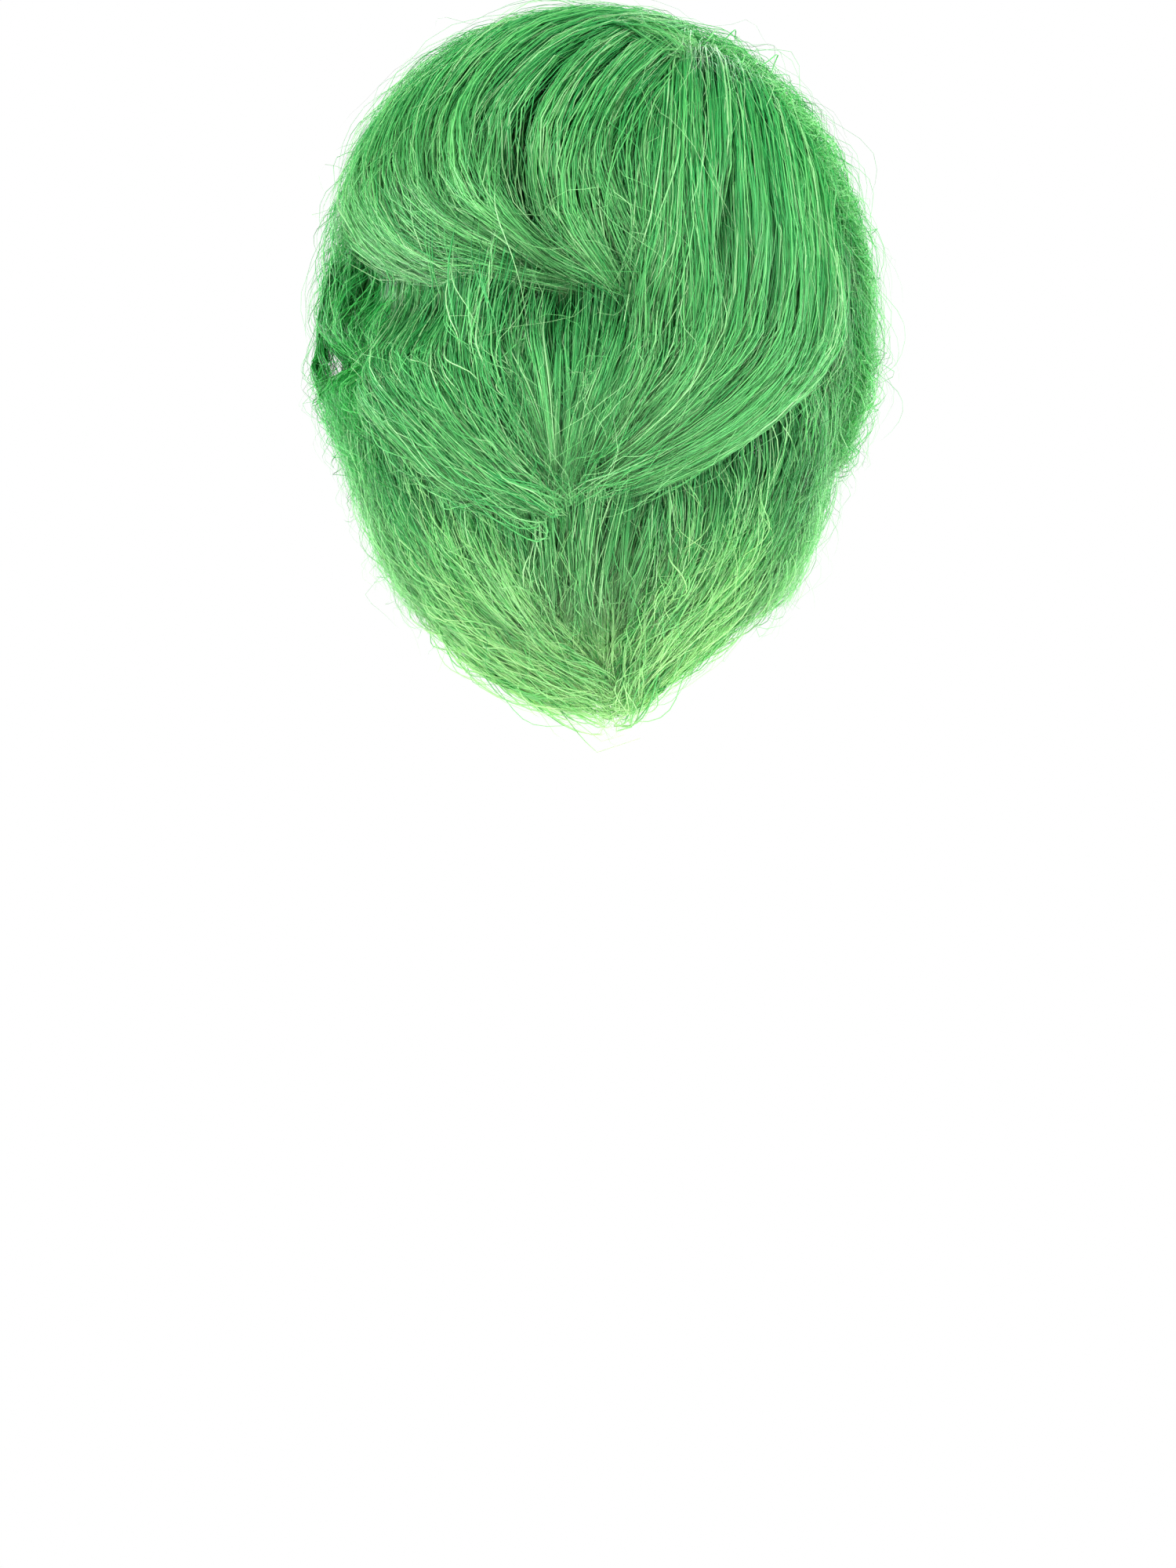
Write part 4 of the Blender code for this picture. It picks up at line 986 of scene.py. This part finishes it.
def capCloth(node, material, slotName, across=9, step=1.5, turned=False, puff=0.0, ribs=0.0):
    # a strip or panel laid where its node lies, rounded at its edges, with ribs along it and a puffed
    # middle
    centre, low, high, inside, outside = nodePlace(node, turned)
    along = np.linspace(centre[0], centre[-1], max(6, int(np.ptp(centre) / step)))
    first, last = np.interp(along, centre, low), np.interp(along, centre, high)
    share = np.linspace(0, 1, across)
    side = first[:, None] + (last - first)[:, None] * share[None]
    main = np.repeat(along[:, None], across, 1)
    turn, fall = (side, main) if turned else (main, side)
    endShare = np.linspace(-1, 1, len(along))[:, None]
    bulge = np.sqrt(1 - 0.75 * (2 * share - 1)[None] ** 6) * np.sqrt(1 - 0.4 * endShare ** 40)
    middle, half = (inside + outside) / 2, (outside - inside) / 2
    soft = np.sqrt(np.maximum(1 - (2 * share - 1)[None] ** 4, 0)) * np.sqrt(1 - endShare ** 4)
    outerLift = middle + half * bulge + puff * soft
    innerLift = middle - half * bulge
    inner, outer = capPoint(turn, fall, innerLift), capPoint(turn, fall, outerLift)
    line = (inner[:, across // 2] + outer[:, across // 2]) / 2
    length = lengthAlong(line)
    width = np.linalg.norm(inner[:, -1] - inner[:, 0], axis=1)
    ridges = ribs * np.sin(length / cap["ribPitch"] * 3.1)[:, None] * soft
    outer = outer + headNormal(turn, fall) * ridges[..., None]
    flat = np.stack([np.repeat(length[:, None], across, 1), (share[None] - 0.5) * width[:, None]], -1)
    piece = clothShell("cloth_" + node, inner, outer, flat, material)
    onWig(piece, slotName, node)
    return piece


def threads(name, lines, radius, slotName, material):
    # four-sided thread along each line of points; every line has the same number of points
    lines = np.asarray(lines)
    count, steps = lines.shape[:2]
    along = unit(np.gradient(lines, axis=1))
    turn, fall, _lift = onCap(lines.reshape(-1, 3))
    out = headNormal(turn, fall).reshape(lines.shape)
    side = unit(np.cross(along, out))
    ends = np.full(steps, 1.0)
    ends[[0, -1]] = 0.35
    reach = radius * ends[None, :, None]
    side, out = side * reach, out * reach
    rings = np.stack([lines + side, lines + out, lines - side, lines - out], 2)
    ring = np.arange(steps - 1)[:, None] * 4
    corner = np.arange(4)[None]
    after = (corner + 1) % 4
    quads = np.stack([ring + corner, ring + 4 + corner, ring + 4 + after, ring + after], -1).reshape(-1, 4)
    last = (steps - 1) * 4
    quads = np.concatenate([quads, [[0, 1, 2, 3]], [[last + 3, last + 2, last + 1, last]]])
    allQuads = (quads[None] + (np.arange(count) * steps * 4)[:, None, None]).reshape(-1, 4)
    mesh = bpy.data.meshes.new(name)
    mesh.from_pydata(rings.reshape(-1, 3).tolist(), [], allQuads.tolist())
    mesh.shade_smooth()
    mesh.materials.append(material)
    onWig(linked(name, mesh), slotName)


def stitchLines(node, inset, face, turned=False):
    # short stitches in a row along each long edge, inset from it, on the inner face (0) or the outer
    # one (1)
    centre, low, high, inside, outside = nodePlace(node, turned)
    fine = np.linspace(centre[0], centre[-1], 400)
    lift = (outside + cap["threadRadius"] * 0.4) if face else (inside - cap["threadRadius"] * 0.4)
    rows = []
    for edge, other in ((low, high), (high, low)):
        near, far = np.interp(fine, centre, edge), np.interp(fine, centre, other)
        corner = placeOn(*((near, fine) if turned else (fine, near)), 0.0)
        beyond = placeOn(*((far, fine) if turned else (fine, far)), 0.0)
        width = np.linalg.norm(beyond - corner, axis=1)
        at = near + (far - near) * inset / width
        line = capPoint(*((at, fine) if turned else (fine, at)), np.full(len(fine), lift))
        length = lengthAlong(line)
        starts = np.arange(0.002, length[-1] - 0.004, cap["stitchPitch"])
        reads = starts[:, None] + cap["stitchLength"] * np.linspace(0, 1, 4)[None]
        rows.append(np.stack([np.interp(reads, length, line[:, axis]) for axis in range(3)], -1))
    return np.concatenate(rows)


def zigzagLines(node):
    # one thread to and fro over a weft row's outer face
    centre, low, high, _inside, outside = nodePlace(node)
    line = placeOn(centre, (low + high) / 2, 0.0)
    crossings = int(lengthAlong(line)[-1] / cap["zigzagPitch"] * 2)
    turn = np.linspace(centre[0] + 0.4, centre[-1] - 0.4, crossings)
    first, last = np.interp(turn, centre, low), np.interp(turn, centre, high)
    fall = np.where(np.arange(crossings) % 2, first * 0.85 + last * 0.15, first * 0.15 + last * 0.85)
    return capPoint(turn, fall, np.full(crossings, outside + cap["threadRadius"] * 0.5))[None]


def weaveKit(name):
    # a material that reads the cloth's own map, in metres along and across
    kit = Kit(name)
    along, across = kit.parts(kit.node("ShaderNodeUVMap", {"uv_map": "weave"}))
    return kit, along, across


def wave(value, pitch):
    # half of 1 + sin(2 pi value / pitch): 0 to 1 and back once in each pitch
    return (value * (2 * math.pi / pitch)).math("SINE", 0.0) * 0.5 + 0.5


def clothMaterial(name, colour, rib, thread, roughness=0.8, contrast=0.45):
    # cloth: ribs across and threads along it, as relief, and as light and dark lines that are painted shade where
    # the relief is low
    kit, along, across = weaveKit(name)
    relief = wave(along, rib) * 0.6 + wave(across, thread) * 0.4
    # painted shade: the colour is darkened where the relief is low
    dark = (*(channel * (1 - contrast) for channel in colour), 1)
    shade = kit.mix(relief, dark, (*colour, 1))
    bump = kit.node("ShaderNodeBump", {}, {"Strength": 0.35, "Distance": 0.0004, "Height": relief})
    skin = kit.node("ShaderNodeBsdfPrincipled", {}, {
        "Base Color": shade, "Roughness": roughness, "Sheen Weight": 0.3, "Normal": bump})
    return kit.finish(skin)


def netMaterial():
    # a diamond net: thread wherever either slanting family of lines passes, and open between them
    kit, along, across = weaveKit("stretch_net")
    slanted = cap["netMesh"] * 1.414
    first, second = wave(along + across, slanted), wave(along - across, slanted)
    thread = first.math("MINIMUM", second).math("LESS_THAN", cap["netThread"])
    skin = kit.node("ShaderNodeBsdfPrincipled", {}, {
        "Base Color": (*cap["netColour"], 1), "Roughness": 0.75, "Alpha": thread})
    return kit.finish(skin)


def patchMaterial():
    # skin-coloured knit with rows of fine holes that the hair comes through
    kit, along, across = weaveKit("parting_knit")
    holes = (wave(along, cap["knitHole"]) * wave(across, cap["knitHole"])).math("GREATER_THAN", 0.72)
    skinTone, holeTone = (*cap["skinColour"], 1), (*cap["holeColour"], 1)
    place = kit.node("ShaderNodeTexCoord", out=3)
    mottle = kit.node("ShaderNodeTexNoise", {}, {"Vector": place, "Scale": 90.0})
    shade = kit.mix(mottle * 0.35, skinTone, (0.48, 0.34, 0.22, 1))
    skin = kit.node("ShaderNodeBsdfPrincipled", {}, {
        "Base Color": kit.mix(holes, shade, holeTone), "Roughness": 0.7})
    return kit.finish(skin)


def plainMaterial(name, colour, roughness, through=0.0):
    # moulded plastic or a plain cloth, a little uneven in colour
    kit = Kit(name)
    place = kit.node("ShaderNodeTexCoord", out=3)
    cloud = kit.node("ShaderNodeTexNoise", {}, {"Vector": place, "Scale": 140.0, "Detail": 2.0})
    shade = kit.mix(cloud, (*(channel * 0.88 for channel in colour), 1), (*colour, 1))
    return kit.finish(kit.node("ShaderNodeBsdfPrincipled", {}, {
        "Base Color": shade, "Roughness": roughness, "Transmission Weight": through}))


def elasticMaterial(name, colour):
    # the adjusters' elastic: fine ribs one above another, read from the object's own place
    kit = Kit(name)
    height = kit.node("ShaderNodeSeparateXYZ", {}, {0: kit.node("ShaderNodeTexCoord", out=3)}, out=2)
    ribs = wave(height, 0.0011)
    # painted shade: the ribs' colour is darkened where their relief is low
    dark = (*(channel * 0.5 for channel in colour), 1)
    bump = kit.node("ShaderNodeBump", {}, {"Strength": 0.4, "Distance": 0.0003, "Height": ribs})
    return kit.finish(kit.node("ShaderNodeBsdfPrincipled", {}, {
        "Base Color": kit.mix(ribs, dark, (*colour, 1)), "Roughness": 0.8, "Normal": bump}))


def crownNet():
    # the net over the crown: two faces of a dome, from a small ring at the crown to the edge that the
    # node has
    centre, _low, high, inside, outside = nodePlace("crown_net")
    turn = np.linspace(-180, 180, 121)[:-1]
    known = np.concatenate([centre - 360, centre, centre + 360])
    edge = np.interp(turn, known, np.tile(high, 3))
    rows = np.concatenate([[0.02], np.linspace(0.04, 1, 44)])
    fall = rows[:, None] * edge[None]
    turns = np.repeat(turn[None], len(rows), 0)
    inner, outer = (capPoint(turns, fall, np.full(fall.shape, level)) for level in (inside, outside))
    reach = np.radians(fall) * wigForm["crownHeight"]
    flat = np.stack([reach * np.sin(np.radians(turns)), reach * np.cos(np.radians(turns))], -1)
    piece = clothShell("cloth_crown_net", inner, outer, flat, netMaterial(), wrap=True)
    onWig(piece, "cap_net", "crown_net")


def nodePoints(node):
    # the points of the frame's own mesh
    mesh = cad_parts[node].data
    points = np.empty(len(mesh.vertices) * 3, np.float32)
    mesh.vertices.foreach_get("co", points)
    return points.reshape(-1, 3).astype(float)


def partingPatch():
    # the panel under the parting: a rectangle seen from above, laid on the cap between the node's
    # sides and its ends
    turn, fall, lift = onCap(nodePoints("parting_patch"))
    reach = np.sin(np.radians(np.minimum(fall, 90)))
    x, y = reach * np.sin(np.radians(turn)), reach * np.cos(np.radians(turn))
    rows, columns = np.meshgrid(
        np.linspace(y.max(), y.min(), 40), np.linspace(x.min(), x.max(), 18), indexing="ij")
    turns = np.degrees(np.arctan2(columns, rows))
    falls = np.degrees(np.arcsin(np.minimum(np.hypot(columns, rows), 1)))
    sides = [capPoint(turns, falls, np.full(falls.shape, level)) for level in (lift.min(), lift.max())]
    length = lengthAlong(sides[1][:, 9])
    width = lengthAlong(sides[1][20])
    flat = np.stack(np.meshgrid(length, width, indexing="ij"), -1)
    piece = clothShell("cloth_parting_patch", *sides, flat, patchMaterial())
    onWig(piece, "parting_skin", "parting_patch")


bindingCloth = clothMaterial("binding_elastic", cap["tapeColour"], cap["ribPitch"], 0.0022)
ribbonCloth = clothMaterial("ribbon_elastic", cap["tapeColour"], 0.0012, 0.0016)
weftCloth = clothMaterial("weft_tape", cap["tapeColour"], 0.0008, 0.0030)
threadLook = plainMaterial("sewing_thread", cap["threadColour"], 0.5)
labelCloth = clothMaterial("label_satin", cap["labelColour"], 0.0006, 0.0006, contrast=0.12)

crownNet()
for node in ("nape_band", "front_band", "side_band_left", "side_band_right"):
    capCloth(node, bindingCloth, "cap_tape", across=13, step=0.5, ribs=0.00012)
ribbonNodes = ["ribbon_centre", "ribbon_left", "ribbon_right", "ribbon_side_left", "ribbon_side_right"]
for node in ribbonNodes:
    capCloth(node, ribbonCloth, "cap_tape", turned=True)
weftNodes = [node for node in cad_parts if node.startswith("weft_")]
for node in weftNodes:
    capCloth(node, weftCloth, "weft_tape", across=7)
for side in ("left", "right"):
    tab = capCloth(f"ear_tab_{side}", bindingCloth, "cap_tape", across=17, step=1.0, puff=0.0004)
partingPatch()
label = capCloth("size_label", labelCloth, "label_cloth", step=1.0)
stitched = [stitchLines(node, 0.0018, face) for node in
            ("nape_band", "front_band", "side_band_left", "side_band_right") for face in (0, 1)]
stitched += [stitchLines(f"ear_tab_{side}", 0.0030, face) for side in ("left", "right") for face in (0, 1)]
threads("stitches_binding", np.concatenate(stitched), cap["threadRadius"], "cap_tape", threadLook)
stitched = [stitchLines(node, 0.0014, 0, turned=True) for node in ribbonNodes]
threads("stitches_ribbon", np.concatenate(stitched), cap["threadRadius"], "cap_tape", threadLook)
stitched = stitchLines("size_label", 0.0012, 0)
threads("stitches_label", stitched, cap["threadRadius"] * 0.7, "label_cloth", threadLook)
for node in weftNodes:
    threads("stitches_" + node, zigzagLines(node), cap["threadRadius"], "weft_tape", threadLook)

strapElastic = elasticMaterial("strap_elastic", cap["tapeColour"])
channelCloth = elasticMaterial("channel_tape", cap["tapeColour"])
hookPlastic = plainMaterial("hook_plastic", cap["plasticColour"], 0.25, through=0.35)
stayPlastic = plainMaterial("stay_plastic", cap["plasticColour"], 0.45)
looks = {"adjuster": strapElastic, "strap_hook": hookPlastic, "strap_channel": channelCloth,
         "hook_loops": channelCloth, "ear_stay": stayPlastic}
for name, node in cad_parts.items():
    for start, look in looks.items():
        if name.startswith(start):
            for slot in node.material_slots:
                slot.material = look
print("cap made")

# the camera, the light and the floor
studio = {
    "distance": 1.5,
    "frameHeight": 0.582,
    "level": -0.2586,
    "side": 0.002,
    "floorLevel": -0.532,
    "floorReach": 6.0,
    "skyOnHair": 0.30,  # the white surroundings' strength, but for what the camera sees of them
}
camera = bpy.data.cameras.new("camera")
camera.sensor_fit = "VERTICAL"
camera.sensor_height = 36.0
camera.lens = camera.sensor_height * studio["distance"] / studio["frameHeight"]
eye = linked("camera", camera)
eye.location = (studio["side"], studio["distance"], studio["level"])
eye.rotation_euler = (math.radians(90), 0, math.radians(180))
bpy.context.scene.camera = eye


def softLight(name, place, size, power):
    # a square lamp at a place, turned towards the middle of the hair
    lamp = bpy.data.lights.new(name, "AREA")
    lamp.shape = "SQUARE"
    lamp.size, lamp.energy = size, power
    lampObject = linked(name, lamp)
    lampObject.location = place
    aim = np.array([0, 0, -0.1]) - np.array(place)
    flat = math.hypot(aim[0], aim[1])
    lampObject.rotation_euler = (math.atan2(flat, -aim[2]), 0, math.atan2(aim[0], -aim[1]) + math.pi)


softLight("key_soft", (0.9, 1.5, 1.3), 0.7, 42)
softLight("fill_soft", (-1.3, 1.2, 0.7), 0.9, 26)
softLight("rear_soft", (0.0, -1.6, 0.9), 1.4, 56)
softLight("left_rim_soft", (1.5, -0.7, -0.1), 1.0, 52)
softLight("right_rim_soft", (-1.5, -0.7, -0.1), 1.0, 52)
softLight("low_soft", (0.0, 0.9, -0.6), 0.9, 16)
world = bpy.data.worlds.new("studio")
world.use_nodes = True
sky = world.node_tree.nodes["Background"]
sky.inputs["Color"].default_value = (1, 1, 1, 1)
seen = world.node_tree.nodes.new("ShaderNodeLightPath")
strength = world.node_tree.nodes.new("ShaderNodeMapRange")
strength.inputs["To Min"].default_value = studio["skyOnHair"]
world.node_tree.links.new(seen.outputs["Is Camera Ray"], strength.inputs["Value"])
world.node_tree.links.new(strength.outputs["Result"], sky.inputs["Strength"])
bpy.context.scene.world = world
bpy.context.scene.view_settings.view_transform = "Standard"

floorMesh = bpy.data.meshes.new("floor")
reach = studio["floorReach"]
corners = [(-reach, -reach), (reach, -reach), (reach, reach), (-reach, reach)]
floorMesh.from_pydata([(x, y, studio["floorLevel"]) for x, y in corners], [], [(0, 1, 2, 3)])
floorKit = Kit("floor")
floorPale = floorKit.node("ShaderNodeBsdfDiffuse", {}, {"Color": (0.75, 0.75, 0.75, 1)})
floorWhite = floorKit.node("ShaderNodeEmission", {}, {"Color": (1, 1, 1, 1), "Strength": 1.0})
floorSeen = floorKit.node("ShaderNodeLightPath")
floorMesh.materials.append(floorKit.finish(floorKit.node(
    "ShaderNodeMixShader", {}, {0: floorSeen, 1: floorPale, 2: floorWhite})))
linked("floor", floorMesh)
